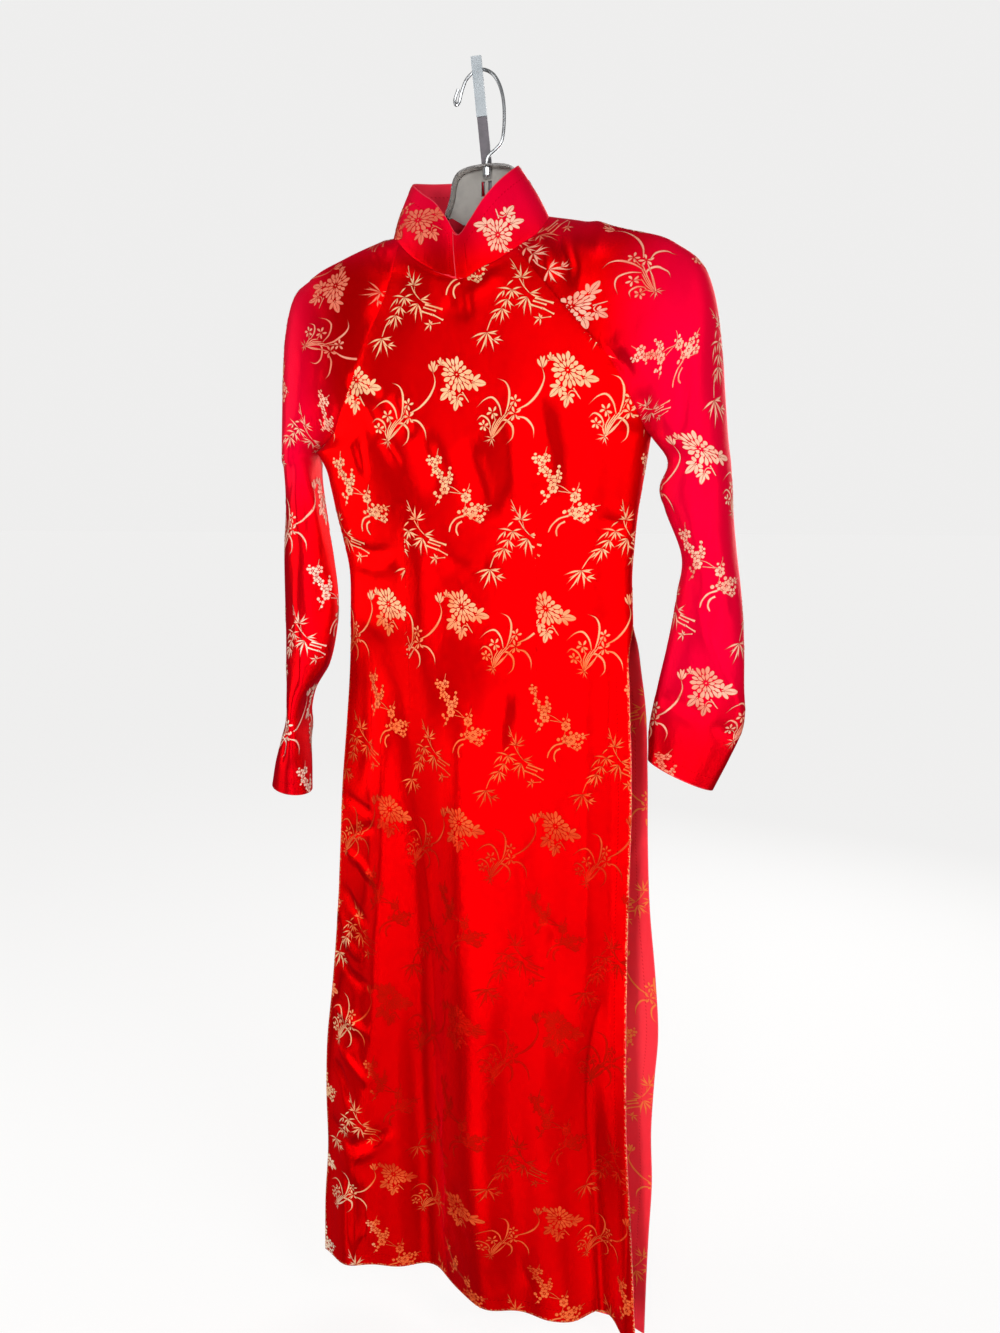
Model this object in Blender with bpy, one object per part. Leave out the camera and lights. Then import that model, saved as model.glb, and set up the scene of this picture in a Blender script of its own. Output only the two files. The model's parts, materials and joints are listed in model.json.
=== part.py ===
"""Long-sleeved tunic dress with a tall stand collar, hanging on a metal hanger.

Sizes are in millimetres. In the tables x runs to the right from the hanger's shank, y runs to
the back and z runs up from the inside of the hook, where the whole thing hangs. Each piece of
cloth is a thin wall whose outer face is worked out from sections. Pieces that are sewn together
share the points and the normals of their seam, and each stands back half a seam gap from it.
"""
import math
from typing import NamedTuple

import bmesh
import bpy
from mathutils import Vector

MM = 0.001
SHANK_X = 10.0  # the shank stands this far to the right of the hook's crown

CLOTH_WALL = 1.5
SEAM_GAP = 0.3
SEAT_GAP = 0.3

# Neck seam: an oval seen from above, turned from the centre front (0) to the right (90)
NECK_X, NECK_Y = -18.5, -6.0
NECK_HALF_WIDTH, NECK_HALF_DEPTH = 86.0, 41.0
COLLAR_TOP_X = -23.5
COLLAR_TOP_HALF_WIDTH, COLLAR_TOP_HALF_DEPTH = 58.0, 37.0
COLLAR_OPENING = 4.0
FRONT_NECK_LEFT, FRONT_NECK_RIGHT = -56.0, 44.0
BACK_NECK_RIGHT, BACK_NECK_LEFT = 140.0, 220.0

SLIT_TOP = -575.0
SIDE_SEAM_Y = 2.0
ARMHOLE_SQUARENESS = 4.5  # how square the body's section is there, where 2 is an ellipse
SEAM_ROLL = 60.0  # how far from a raglan seam the panels turn towards it
ARMHOLE_CLOSING = 0.62  # share of the raglan seam below which the sleeve wraps to the underarm
NECK_FADE = 0.30  # share of the raglan seam over which the rows take the neck's shape
SEWN_FADE = 120.0  # the folds die out this far above the slits, towards the side seams
EDGE_WEIGHT = 0.45  # how far a panel's columns are drawn together towards its edges

# Rows and columns of the cloth's meshes
FRONT_COLUMNS, BACK_COLUMNS, SLEEVE_COLUMNS, COLLAR_ROWS = 20, 16, 16, 3
RAGLAN_ROWS = [0.0, 0.10, 0.21, 0.33, 0.45, 0.55, 0.63, 0.70, 0.77, 0.83, 0.88, 0.925, 0.96,
               0.985]
BODICE_ROWS = [-381, -391, -405, -424, -447, -472, -498, -524, -550, SLIT_TOP]
FRONT_SKIRT_ROWS = [-590, -610, -638, -675, -720, -770, -825, -885, -945, -1005, -1065, -1125,
                    -1185, -1240, -1295, -1345, -1388]
BACK_SKIRT_ROWS = [-592, -615, -648, -690, -745, -805, -870, -935, -1000, -1065, -1125, -1190,
                   -1250, -1310, -1365, -1412]


class Neck(NamedTuple):
    """Heights of the collar's seam and of its top edge at one angle round the neck."""
    angle: float
    seam_z: float
    top_z: float


class Level(NamedTuple):
    """A panel's two side edges and its middle at one height."""
    z: float
    rise: float  # how much higher the right edge is than the left edge
    left_x: float
    left_y: float
    right_x: float
    right_y: float
    middle_y: float
    edge_power: float  # 0.5 rolls round to the side seam, 1 hangs flat to a free edge
    squareness: float  # 2 makes the section an ellipse, more makes it squarer


class Yoke(NamedTuple):
    """The panels' middles at one share of the raglan seam."""
    share: float
    front_y: float
    back_y: float


class Ring(NamedTuple):
    """One section of a sleeve: the body side, the outer side and how far it leans."""
    share: float  # 0 at the neck, 1 at the underarm, more towards the cuff
    inner_x: float
    inner_z: float
    outer_x: float
    outer_z: float
    middle_y: float
    half_depth: float
    lean_x: float
    lean_z: float


class Fold(NamedTuple):
    """A long soft fold: positive depth pushes the cloth outwards."""
    place: float  # share of the panel's width at the hem, from its left edge
    drift: float  # how far the place moves by the fold's top
    width: float
    depth: float
    top_z: float
    full_z: float


NECK_SEAM = [
    Neck(-90, -160, -106), Neck(-60, -169, -115), Neck(-38, -189, -127), Neck(-20, -204, -139),
    Neck(-8, -212, -154), Neck(4, -217, -171), Neck(16, -207, -158), Neck(30, -198, -138.5),
    Neck(45, -186, -123), Neck(65, -172, -109), Neck(90, -153, -98.5), Neck(135, -147, -97),
    Neck(180, -146, -98), Neck(225, -150, -100), Neck(270, -160, -106), Neck(300, -169, -115),
]

YOKES = [Yoke(0.0, -47, 35), Yoke(0.3, -50, 39), Yoke(0.6, -52, 42), Yoke(1.0, -50, 42)]

FRONT_BODICE = [
    Level(-381, 11, -205, 2, 178, 2, -50, 0.5, 4.5), Level(-400, 9, -194.5, 2, 175, 2, -50, 0.5, 4.2),
    Level(-424, 6, -189, 2, 171, 2, -49, 0.5, 3.6), Level(-455, 3, -183, 2, 166, 2, -47, 0.5, 2.9),
    Level(-488, 1, -175, 2, 163, 2, -44, 0.5, 2.5), Level(-522, 0, -169, 2, 161, 2, -42, 0.5, 2.4),
    Level(-552, 0, -169, 2, 162, 2, -42, 0.52, 2.4),
]
FRONT_LEVELS = FRONT_BODICE + [
    Level(-575, 0, -170, 2, 163, 2, -42, 0.55, 2.4),
    Level(-605, 0, -171, 1, 162.5, -14, -42, 0.7, 2.4),
    Level(-645, 0, -173, 0, 164.5, -20, -42, 0.9, 2.4),
    Level(-700, 0, -177, -2, 167, -20, -42, 1, 2.4),
    Level(-780, 0, -184, -4, 169, -20, -41, 1, 2.4),
    Level(-860, 0, -188, -6, 168, -20, -40, 1, 2.4),
    Level(-940, 0, -193, -7, 167.5, -20, -39, 1, 2.4),
    Level(-1030, 0, -201, -9, 168.5, -23, -38, 1, 2.4),
    Level(-1110, 0, -210, -10, 170, -26, -37, 1, 2.4),
    Level(-1180, 0, -212, -11, 173, -29, -37, 1, 2.4),
    Level(-1250, 0, -211, -12, 179, -35, -38, 1, 2.4),
    Level(-1320, 0, -215, -15, 185, -43, -39, 1, 2.4),
    Level(-1388, 0, -214, -21, 191, -56, -40, 1, 2.4),
]
BACK_LEVELS = [row._replace(middle_y=middle_y) for row, middle_y in
               zip(FRONT_BODICE, [42, 41, 39, 36, 34, 34, 37])] + [
    Level(-575, 0, -170, 2, 163, 2, 40, 0.55, 2.4),
    Level(-600, 0, -171, 18, 166, 19, 44, 0.7, 2.4),
    Level(-630, 0, -171, 30, 167.5, 36, 47, 0.9, 2.4),
    Level(-665, 0, -173, 37, 171, 45, 50, 1, 2.4),
    Level(-750, 0, -177, 41, 175, 50, 52, 1, 2.4),
    Level(-830, 0, -182, 43, 177, 50, 52, 1, 2.4),
    Level(-910, 0, -188, 44, 181, 50, 52, 1, 2.4),
    Level(-1000, 0, -194, 45, 190, 50, 52, 1, 2.4),
    Level(-1070, -2, -199, 46, 194.5, 50, 53, 1, 2.4),
    Level(-1125, -4, -202, 46, 191.5, 48, 53, 1, 2.4),
    Level(-1190, -8, -204, 46, 189.5, 46, 53, 1, 2.4),
    Level(-1250, -12, -205, 46, 192.5, 41, 53, 1, 2.4),
    Level(-1310, -17, -206, 45, 191.5, 30, 52, 1, 2.4),
    Level(-1360, -21, -206, 44, 192, 15, 50, 1, 2.4),
    Level(-1412, -26, -206, 42, 193, 2, 48, 1, 2.4),
]

FRONT_FOLDS = [
    Fold(0.09, 0.02, 0.065, 17, -760, -1388), Fold(0.345, -0.02, 0.085, -24, -640, -1300),
    Fold(0.56, -0.01, 0.075, 16, -690, -1360), Fold(0.885, 0.0, 0.050, -30, -880, -1388),
    Fold(0.74, -0.02, 0.060, 7, -720, -1200), Fold(0.30, 0.0, 0.060, 4, -430, -520),
]
BACK_FOLDS = [
    Fold(0.16, 0.02, 0.070, 12, -700, -1300), Fold(0.36, 0.02, 0.080, -16, -660, -1340),
    Fold(0.60, 0.0, 0.080, 14, -700, -1380), Fold(0.82, -0.02, 0.065, -10, -800, -1300),
]

LEFT_SLEEVE = [
    Ring(0.00, -82, -161, -104.5, -160, -5, 30, -8, -11),
    Ring(0.20, -93.5, -204, -127, -164, -5, 36, -5.5, -11),
    Ring(0.40, -110, -249, -165, -177, -5, 40, -6, -9),
    Ring(0.60, -130, -295, -203, -194, -4, 43, -6, -7),
    Ring(0.80, -154, -341, -232, -228, -2, 44, -3, -5),
    Ring(0.92, -177, -369, -242, -290, 0, 44, 1, -4),
    Ring(1.00, -205, -386.5, -248, -384, 2, 44, 6, -3),
    Ring(1.08, -206.5, -402.5, -248.5, -401, 3, 44, 9, -2),
    Ring(1.30, -201.5, -448, -250, -448, 4, 43, 12, 0),
    Ring(1.54, -193.7, -497, -254.5, -495, 4, 41, 12, 0),
    Ring(1.90, -187.5, -569, -256.5, -569, 4, 37, 12, 0),
    Ring(2.06, -192, -601, -256.5, -600, 4, 38, 12, 0),
    Ring(2.22, -201, -632, -257, -632, 4, 40, 12, 0),
    Ring(2.40, -223, -668, -255.5, -668, 4, 44, 12, 0),
    Ring(2.55, -231, -699, -256, -697, 4, 45, 12, 0),
    Ring(2.70, -230.5, -728, -265, -724, 4, 43, 12, 0),
    Ring(2.85, -229, -758, -275, -753, 4, 40, 12, 0),
    Ring(3.00, -229, -790, -282, -784, 4, 37, 12, 0),
]
RIGHT_SLEEVE = [
    Ring(0.00, 39, -167, 67.5, -153, -5, 30.5, 2, -20),
    Ring(0.20, 67, -207, 105, -159, -5, 36, 5.5, -17),
    Ring(0.40, 97, -249, 152, -170.5, -5, 40, 9, -13),
    Ring(0.60, 130, -293, 198, -186, -4, 43, 11, -8),
    Ring(0.80, 156, -336, 236, -228, -2, 44, 8, -5),
    Ring(0.92, 169, -361, 248, -290, 0, 43, 5, -3),
    Ring(1.00, 178, -376, 256, -372, 2, 41, 0, -2),
    Ring(1.10, 196, -402, 260, -402, 3, 39, 0, 0),
    Ring(1.20, 188, -428, 262.5, -426, 3, 37, 0, 0),
    Ring(1.32, 194, -451, 264, -450, 3, 37, 0, 0),
    Ring(1.54, 213, -502, 269.5, -498, 3, 39, 0, 0),
    Ring(1.72, 209, -539, 275, -536, 3, 35, 0, 0),
    Ring(1.98, 200, -594, 280, -590, 2, 28, 0, 0),
    Ring(2.20, 190.5, -640, 281.5, -636, 1, 22, 0, 0),
    Ring(2.45, 182, -690, 281, -684, 1, 18, 0, 0),
    Ring(2.58, 182, -708, 270, -712, 1, 18, 0, 0),
    Ring(2.72, 182, -721, 253, -750, 1, 21, 0, 0),
]
LEFT_SLEEVE_ROWS = [1.0, 1.08, 1.18, 1.30, 1.42, 1.54, 1.66, 1.78, 1.90, 2.06, 2.22, 2.31, 2.40,
                    2.55, 2.70, 2.85, 3.0]
RIGHT_SLEEVE_ROWS = [1.0, 1.05, 1.10, 1.15, 1.20, 1.26, 1.32, 1.43, 1.54, 1.63, 1.72, 1.85, 1.98,
                     2.09, 2.20, 2.33, 2.45, 2.58, 2.72]

# Hanger
WIRE_RADIUS = 1.8
PLATE_THICKNESS = 2.0
HUMP_TOP = -96.8
RIM_THICKNESS, RIM_FRONT, RIM_BACK = 2.2, -10.5, 1.2
FERRULE_RADIUS, FERRULE_TOP, FERRULE_BOTTOM = 4.4, HUMP_TOP - SEAT_GAP, -107.0
SHANK_Y = -5.8
ARM_HALF_DEPTH, ARM_HALF_HEIGHT = 8.5, 5.5
ARM_LEAN_ROOM = 1.1  # the sleeves slope down across the arm's width
ARM_SET_BACK = 1.5  # the sleeves' ridges are highest behind their middles
ARM_END_SHARE = 0.60
ARM_ROOT = [(45.5, -1, -151.5), (60, -1, -160), (82, -1, -170), (106, -1, -177)]
ARM_SIDES, FERRULE_SIDES = 12, 16
BAR_WIDTH, BAR_THICKNESS, GRIP_THICKNESS = 11.0, 1.6, 3.0
BAR_TOP, BAR_GRIP_END, BAR_BOTTOM = 13.0, -45.0, -150.0
BAR_TOP_X, BAR_LOW_X, BAR_LOW = -10.3, -1.6, -95.0  # it leans right from the hook's crown to there

RED_SILK = ((0.62, 0.01, 0.02, 1.0), 0.42, 0.0)
CHROME = ((0.78, 0.78, 0.79, 1.0), 0.12, 1.0)
GREY_STEEL = ((0.40, 0.39, 0.39, 1.0), 0.35, 1.0)
PALE_PLASTIC = ((0.62, 0.68, 0.70, 1.0), 0.5, 0.0)


# ---- curves and tables -------------------------------------------------------------------

def clamp(value, low=0.0, high=1.0):
    return max(low, min(high, value))


def mix(start, end, share):
    return start + (end - start) * share


def ease(value):
    value = clamp(value)
    return value * value * (3.0 - 2.0 * value)


def hermite(keys, values, place):
    """A smooth curve through the values, at a place among the rising keys."""
    span = len(keys) - 2
    while span > 0 and place < keys[span]:
        span -= 1
    steps = [b - a for a, b in zip(keys, keys[1:])]
    secants = [(b - a) / step for a, b, step in zip(values, values[1:], steps)]

    def slope(index):
        if index == 0:
            return secants[0]
        if index == len(keys) - 1:
            return secants[-1]
        before, after = steps[index - 1], steps[index]
        return (secants[index - 1] * after + secants[index] * before) / (before + after)

    step = steps[span]
    u = clamp((place - keys[span]) / step)
    return (mix(values[span], values[span + 1], ease(u))
            + step * (slope(span) * u * (1 - u) ** 2 - slope(span + 1) * u * u * (1 - u)))


def sample(table, place):
    """The table's row at a place between its rows. The first column is the key."""
    direction = 1.0 if table[-1][0] > table[0][0] else -1.0
    keys = [direction * row[0] for row in table]
    columns = list(zip(*table))
    values = [hermite(keys, column, direction * place) for column in columns[1:]]
    return type(table[0])(place, *values)


# ---- the dress's outer surface -----------------------------------------------------------

def neck_heights(angle):
    return sample(NECK_SEAM, (angle + 90.0) % 360.0 - 90.0 if angle < 300.0 else angle - 360.0)


def neck_point(angle):
    """A point of the neck seam."""
    turn = math.radians(angle)
    return Vector((NECK_X + NECK_HALF_WIDTH * math.sin(turn),
                   NECK_Y - NECK_HALF_DEPTH * math.cos(turn), neck_heights(angle).seam_z))


def collar_top_point(angle):
    """A point of the collar's top edge, which leans in over the neck seam."""
    turn = math.radians(angle)
    return Vector((COLLAR_TOP_X + COLLAR_TOP_HALF_WIDTH * math.sin(turn),
                   NECK_Y - COLLAR_TOP_HALF_DEPTH * math.cos(turn), neck_heights(angle).top_z))


def ring_point(table, share, around):
    """A point of a sleeve's section, from its front seam (0) over the outside to its back (1)."""
    ring = sample(table, share)
    closing = clamp((share - ARMHOLE_CLOSING) / (1.0 - ARMHOLE_CLOSING))
    open_half = math.acos(closing)
    turn = mix(open_half, 2.0 * math.pi - open_half, around)
    inner = Vector((ring.inner_x, ring.middle_y, ring.inner_z))
    outer = Vector((ring.outer_x, ring.middle_y, ring.outer_z))
    across = (outer - inner) / (1.0 + closing)
    deep = Vector((ring.lean_x, -ring.half_depth, ring.lean_z))
    return outer - across - across * math.cos(turn) + deep * math.sin(turn)


def sleeve_point(table, neck_angles, share, around):
    """A point of a sleeve, whose first rows take the shape of the neck seam."""
    point = ring_point(table, share, around)
    fade = clamp(1.0 - share / NECK_FADE) ** 2
    if fade > 0.0:
        seam = neck_point(mix(neck_angles[0], neck_angles[1], around))
        point += (seam - ring_point(table, 0.0, around)) * fade
    return point


def left_sleeve_point(share, around):
    return sleeve_point(LEFT_SLEEVE, (FRONT_NECK_LEFT, BACK_NECK_LEFT - 360.0), share, around)


def right_sleeve_point(share, around):
    return sleeve_point(RIGHT_SLEEVE, (FRONT_NECK_RIGHT, BACK_NECK_RIGHT), share, around)


def crown(across, edge_power, squareness):
    """How far a section stands out between its edges, as a share of its middle."""
    return max(0.0, 1.0 - abs(2.0 * across - 1.0) ** squareness) ** edge_power


def yoke_point(share, across, front):
    """A point of a panel between its raglan seams, across from the left (0) to the right (1)."""
    around = 0.0 if front else 1.0
    angles = ((FRONT_NECK_LEFT, FRONT_NECK_RIGHT) if front
              else (BACK_NECK_LEFT, BACK_NECK_RIGHT))

    side_seams = FRONT_BODICE[0]
    body_width = side_seams.right_x - side_seams.left_x

    def row(at):
        """The section at the underarm carried upwards, turned in to the raglan seams."""
        left, right = left_sleeve_point(at, around), right_sleeve_point(at, around)
        yoke = sample(YOKES, at)
        rise = (yoke.front_y if front else yoke.back_y) - SIDE_SEAM_Y

        def section_y(x):
            place = clamp((x - side_seams.left_x) / body_width)
            return SIDE_SEAM_Y + rise * crown(place, 0.5, ARMHOLE_SQUARENESS)

        point = left.lerp(right, across)
        point.y = section_y(point.x)
        for end in (left, right):
            near = clamp(1.0 - abs(point.x - end.x) / SEAM_ROLL)
            point.y += (end.y - section_y(end.x)) * near * near
        return point

    point = row(share)
    fade = clamp(1.0 - share / NECK_FADE) ** 2
    if fade > 0.0:
        point += (neck_point(mix(angles[0], angles[1], across)) - row(0.0)) * fade
    return point


def fold_depth(folds, across, z):
    """The outward push of all folds at one place. It dies out at the sewn side seams."""
    push = 0.0
    for fold in folds:
        grown = ease((fold.top_z - z) / (fold.top_z - fold.full_z))
        place = fold.place + fold.drift * (1.0 - grown)
        push += fold.depth * grown * math.exp(-((across - place) / fold.width) ** 2)
    sewn = ease((z - SLIT_TOP + SEWN_FADE) / SEWN_FADE)
    return push * mix(1.0, 4.0 * across * (1.0 - across), sewn)


def level_point(levels, folds, z, across, front):
    """A point of a panel below the underarm, across from the left (0) to the right (1)."""
    level = sample(levels, z)
    edge_y = mix(level.left_y, level.right_y, across)
    average = (level.left_y + level.right_y) / 2.0
    outward = -1.0 if front else 1.0
    y = (edge_y + (level.middle_y - average) * crown(across, level.edge_power, level.squareness)
         + outward * fold_depth(folds, across, z))
    return Vector((mix(level.left_x, level.right_x, across), y,
                   z + level.rise * (across - 0.5)))


# ---- cloth -------------------------------------------------------------------------------

class Piece:
    """One cut piece of cloth: the points of its outer face and the quads between them."""

    def __init__(self, name, rows, first_closed=None):
        self.name = name
        self.points = []
        self.quads = []
        starts = []
        columns = len(rows[0]) - 1
        for number, row in enumerate(rows):
            starts.append(len(self.points))
            closed = first_closed is not None and number >= first_closed
            self.points.extend(row[:-1] if closed else row)

        def index(number, column):
            closed = first_closed is not None and number >= first_closed
            return starts[number] + (column % columns if closed else column)

        for number in range(len(rows) - 1):
            for column in range(columns):
                self.quads.append((index(number, column), index(number + 1, column),
                                   index(number + 1, column + 1), index(number, column + 1)))

    def open_edges(self):
        """The edges with one quad, each in the order in which its quad runs along it."""
        runs = {}
        for quad in self.quads:
            for start, end in zip(quad, quad[1:] + quad[:1]):
                if start != end:
                    runs[(start, end)] = True
        return [(start, end) for start, end in runs if (end, start) not in runs]


def place_key(point):
    return tuple(round(value, 3) for value in point)


def seam_data(pieces):
    """The shared normal of every place, and the places where two edges are sewn together."""
    normals, counts = {}, {}
    for piece in pieces:
        for quad in piece.quads:
            a, b, c, d = (piece.points[index] for index in quad)
            normal = (c - a).cross(d - b)
            for corner in {place_key(point) for point in (a, b, c, d)}:
                normals[corner] = normals.get(corner, Vector()) + normal
        for point in piece.points:
            counts[place_key(point)] = counts.get(place_key(point), 0) + 1
    sewn = {key for key, count in counts.items() if count > 1}
    return {key: normal.normalized() for key, normal in normals.items()}, sewn


def stand_back(piece, sewn):
    """The piece's outer points, moved back from its seams by half the seam gap."""
    keys = [place_key(point) for point in piece.points]
    edge_ends = {}
    for start, end in piece.open_edges():
        edge_ends.setdefault(start, []).append(end)
        edge_ends.setdefault(end, []).append(start)
    inside = {}
    for quad in piece.quads:
        for index in quad:
            inside.setdefault(index, set()).update(quad)
    moved = []
    for index, point in enumerate(piece.points):
        if keys[index] not in sewn:
            moved.append(point.copy())
            continue
        near = [piece.points[other] for other in inside[index] if other not in edge_ends]
        near = near or [piece.points[other] for other in inside[index] if other != index]
        inward = sum(((other - point).normalized() for other in near), Vector())
        ends = [piece.points[other] for other in edge_ends[index]]
        along = (ends[0] - ends[-1]).normalized()
        straight = inward - along * inward.dot(along)
        inward = straight if straight.length > 0.3 * inward.length else inward
        moved.append(point + inward.normalized() * SEAM_GAP / 2.0)
    return moved


def to_metres(point):
    return Vector((point.x + SHANK_X, point.y, point.z)) * MM


def add_object(name, mesh, material):
    mesh.materials.append(material)
    result = bpy.data.objects.new(name, mesh)
    bpy.context.scene.collection.objects.link(result)
    return result


def add_wall(piece, normals, sewn, material):
    """Thicken a piece inwards into a closed wall."""
    outer = stand_back(piece, sewn)
    inner = [point - normals[place_key(at)] * CLOTH_WALL
             for point, at in zip(outer, piece.points)]
    count = len(outer)
    faces = list(piece.quads)
    faces += [tuple(index + count for index in reversed(quad)) for quad in piece.quads]
    faces += [(end, start, start + count, end + count) for start, end in piece.open_edges()]
    mesh = bpy.data.meshes.new(piece.name)
    mesh.from_pydata([to_metres(point) for point in outer + inner], [], faces)
    mesh.validate()
    mesh.shade_smooth()
    mesh.set_sharp_from_angle(angle=math.radians(50))
    return add_object(piece.name, mesh, material)


def column_shares(count):
    """Shares across a panel, drawn together towards its edges."""
    shares = []
    for column in range(count + 1):
        even = column / count
        shares.append(mix(even, (1.0 - math.cos(math.pi * even)) / 2.0, EDGE_WEIGHT))
    return shares


def panel_rows(front):
    """Rows of a panel from the neck to the hem, in the order that faces outwards."""
    shares = column_shares(FRONT_COLUMNS if front else BACK_COLUMNS)
    levels, folds = (FRONT_LEVELS, FRONT_FOLDS) if front else (BACK_LEVELS, BACK_FOLDS)
    skirt = FRONT_SKIRT_ROWS if front else BACK_SKIRT_ROWS
    rows = [[yoke_point(share, across, front) for across in shares] for share in RAGLAN_ROWS]
    for z in BODICE_ROWS + skirt:
        rows.append([level_point(levels, folds, z, across, front) for across in shares])
    underarm = len(RAGLAN_ROWS)
    around = 0.0 if front else 1.0
    rows[underarm][0] = left_sleeve_point(1.0, around)
    rows[underarm][-1] = right_sleeve_point(1.0, around)
    return rows if front else [row[::-1] for row in rows]


def sleeve_piece(name, point_at, tube_rows, reverse):
    """A sleeve: open between its raglan seams, closed from the underarm to the cuff."""
    turns = [column / SLEEVE_COLUMNS for column in range(SLEEVE_COLUMNS + 1)]
    if reverse:
        turns = turns[::-1]
    rows = [[point_at(share, around) for around in turns] for share in RAGLAN_ROWS + tube_rows]
    return Piece(name, rows, first_closed=len(RAGLAN_ROWS))


def collar_piece(neck_rows):
    """The stand collar, on the neck points of the pieces below it, open at the centre front."""
    front, right, back, left = neck_rows
    opening = min(range(len(front)), key=lambda column: (front[column] - COLLAR_OPENING) ** 2)
    angles = front[opening:] + right[1:] + back[1:] + left[1:] + [
        angle + 360.0 for angle in front[1:opening + 1]]
    rows = []
    for number in range(COLLAR_ROWS + 1):
        height = 1.0 - number / COLLAR_ROWS
        rows.append([neck_point(angle).lerp(collar_top_point(angle), height)
                     for angle in angles])
    return Piece("collar", rows)


def neck_angle_rows():
    """Neck angles of the columns of the front panel, right sleeve, back panel, left sleeve."""
    sides = [column / SLEEVE_COLUMNS for column in range(SLEEVE_COLUMNS + 1)]
    front = [mix(FRONT_NECK_LEFT, FRONT_NECK_RIGHT, share)
             for share in column_shares(FRONT_COLUMNS)]
    right = [mix(FRONT_NECK_RIGHT, BACK_NECK_RIGHT, share) for share in sides]
    back = [mix(BACK_NECK_RIGHT, BACK_NECK_LEFT, share)
            for share in column_shares(BACK_COLUMNS)]
    left = [mix(BACK_NECK_LEFT, FRONT_NECK_LEFT + 360.0, share) for share in sides]
    return front, right, back, left


def make_dress(material):
    pieces = [
        Piece("front_panel", panel_rows(front=True)),
        Piece("back_panel", panel_rows(front=False)),
        sleeve_piece("sleeve_left", left_sleeve_point, LEFT_SLEEVE_ROWS, reverse=True),
        sleeve_piece("sleeve_right", right_sleeve_point, RIGHT_SLEEVE_ROWS, reverse=False),
        collar_piece(neck_angle_rows()),
    ]
    normals, sewn = seam_data(pieces)
    for piece in pieces:
        add_wall(piece, normals, sewn, material)


# ---- hanger ------------------------------------------------------------------------------

def rounded_path(corners, per_span):
    """A smooth path through points, with the same number of steps between each two."""
    keys = list(range(len(corners)))
    columns = list(zip(*corners))
    steps = [number / per_span for number in range(per_span * (len(corners) - 1) + 1)]
    return [Vector([hermite(keys, column, step) for column in columns]) for step in steps]


def skin(name, sections, material):
    """Join closed sections of equal counts into one solid with flat ends."""
    count = len(sections[0])
    points = [point for section in sections for point in section]
    faces = []
    for number in range(len(sections) - 1):
        base, above = number * count, (number + 1) * count
        for side in range(count):
            after = (side + 1) % count
            faces.append((base + side, base + after, above + after, above + side))
    faces.append(tuple(reversed(range(count))))
    faces.append(tuple(range((len(sections) - 1) * count, len(sections) * count)))
    mesh = bpy.data.meshes.new(name)
    mesh.from_pydata([to_metres(point) for point in points], [], faces)
    solid = bmesh.new()
    solid.from_mesh(mesh)
    bmesh.ops.recalc_face_normals(solid, faces=solid.faces)
    solid.to_mesh(mesh)
    solid.free()
    mesh.shade_smooth()
    mesh.set_sharp_from_angle(angle=math.radians(40))
    return add_object(name, mesh, material)


def hook_path():
    """Centre line of the hook, from its turned-back tip over the crown to the shank."""
    corners = [
        (-32.5, 0, -15), (-36.5, 0, -25), (-35.0, 0, -30), (-31.6, 0, -27.5), (-28.5, 0, -17),
        (-22.5, 0, -5.5), (-10.0, 0, WIRE_RADIUS), (4.0, -0.5, -3.2), (13.0, -1, -16),
        (17.8, -2, -34), (18.6, -3, -55), (16.6, -4.2, -72), (10.5, -4.9, -79.5),
        (3.2, -5.5, -85), (0.7, -5.8, -90), (0.5, SHANK_Y, HUMP_TOP + RIM_THICKNESS + SEAT_GAP),
    ]
    return rounded_path(corners, 4)


def make_wire(name, path, material):
    curve = bpy.data.curves.new(name, "CURVE")
    curve.dimensions = "3D"
    curve.bevel_depth = WIRE_RADIUS * MM
    curve.bevel_resolution = 2
    curve.use_fill_caps = True
    line = curve.splines.new("POLY")
    line.points.add(len(path) - 1)
    for spot, point in zip(line.points, path):
        spot.co = (*to_metres(point), 1.0)
    curve.materials.append(material)
    result = bpy.data.objects.new(name, curve)
    bpy.context.scene.collection.objects.link(result)
    return result


def hump_path():
    """The upper outline of the hanger's middle, from its left foot to its right foot."""
    half = [(46, -147), (40.5, -136), (36.5, -124), (34.5, -111), (29.5, -102.5), (19, -98.3),
            (0, HUMP_TOP)]
    corners = [(-x, z) for x, z in half] + half[-2::-1]
    return rounded_path(corners, 3)


def outward_offsets(path, distance):
    """A flat path moved sideways, away from the plate."""
    moved = []
    for number, point in enumerate(path):
        before, after = path[max(number - 1, 0)], path[min(number + 1, len(path) - 1)]
        along = (after - before).normalized()
        moved.append(Vector((point.x - along.y * distance, point.y + along.x * distance)))
    return moved


def make_rim(path, material):
    """The chrome flange along the top of the plate, standing forwards of it."""
    under, over = path, outward_offsets(path, RIM_THICKNESS)
    sections = []
    for low, high in zip(under, over):
        sections.append([Vector((low.x, RIM_BACK, low.y)), Vector((low.x, RIM_FRONT, low.y)),
                         Vector((high.x, RIM_FRONT, high.y)), Vector((high.x, RIM_BACK, high.y))])
    return skin("hanger_rim", sections, material)


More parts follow.
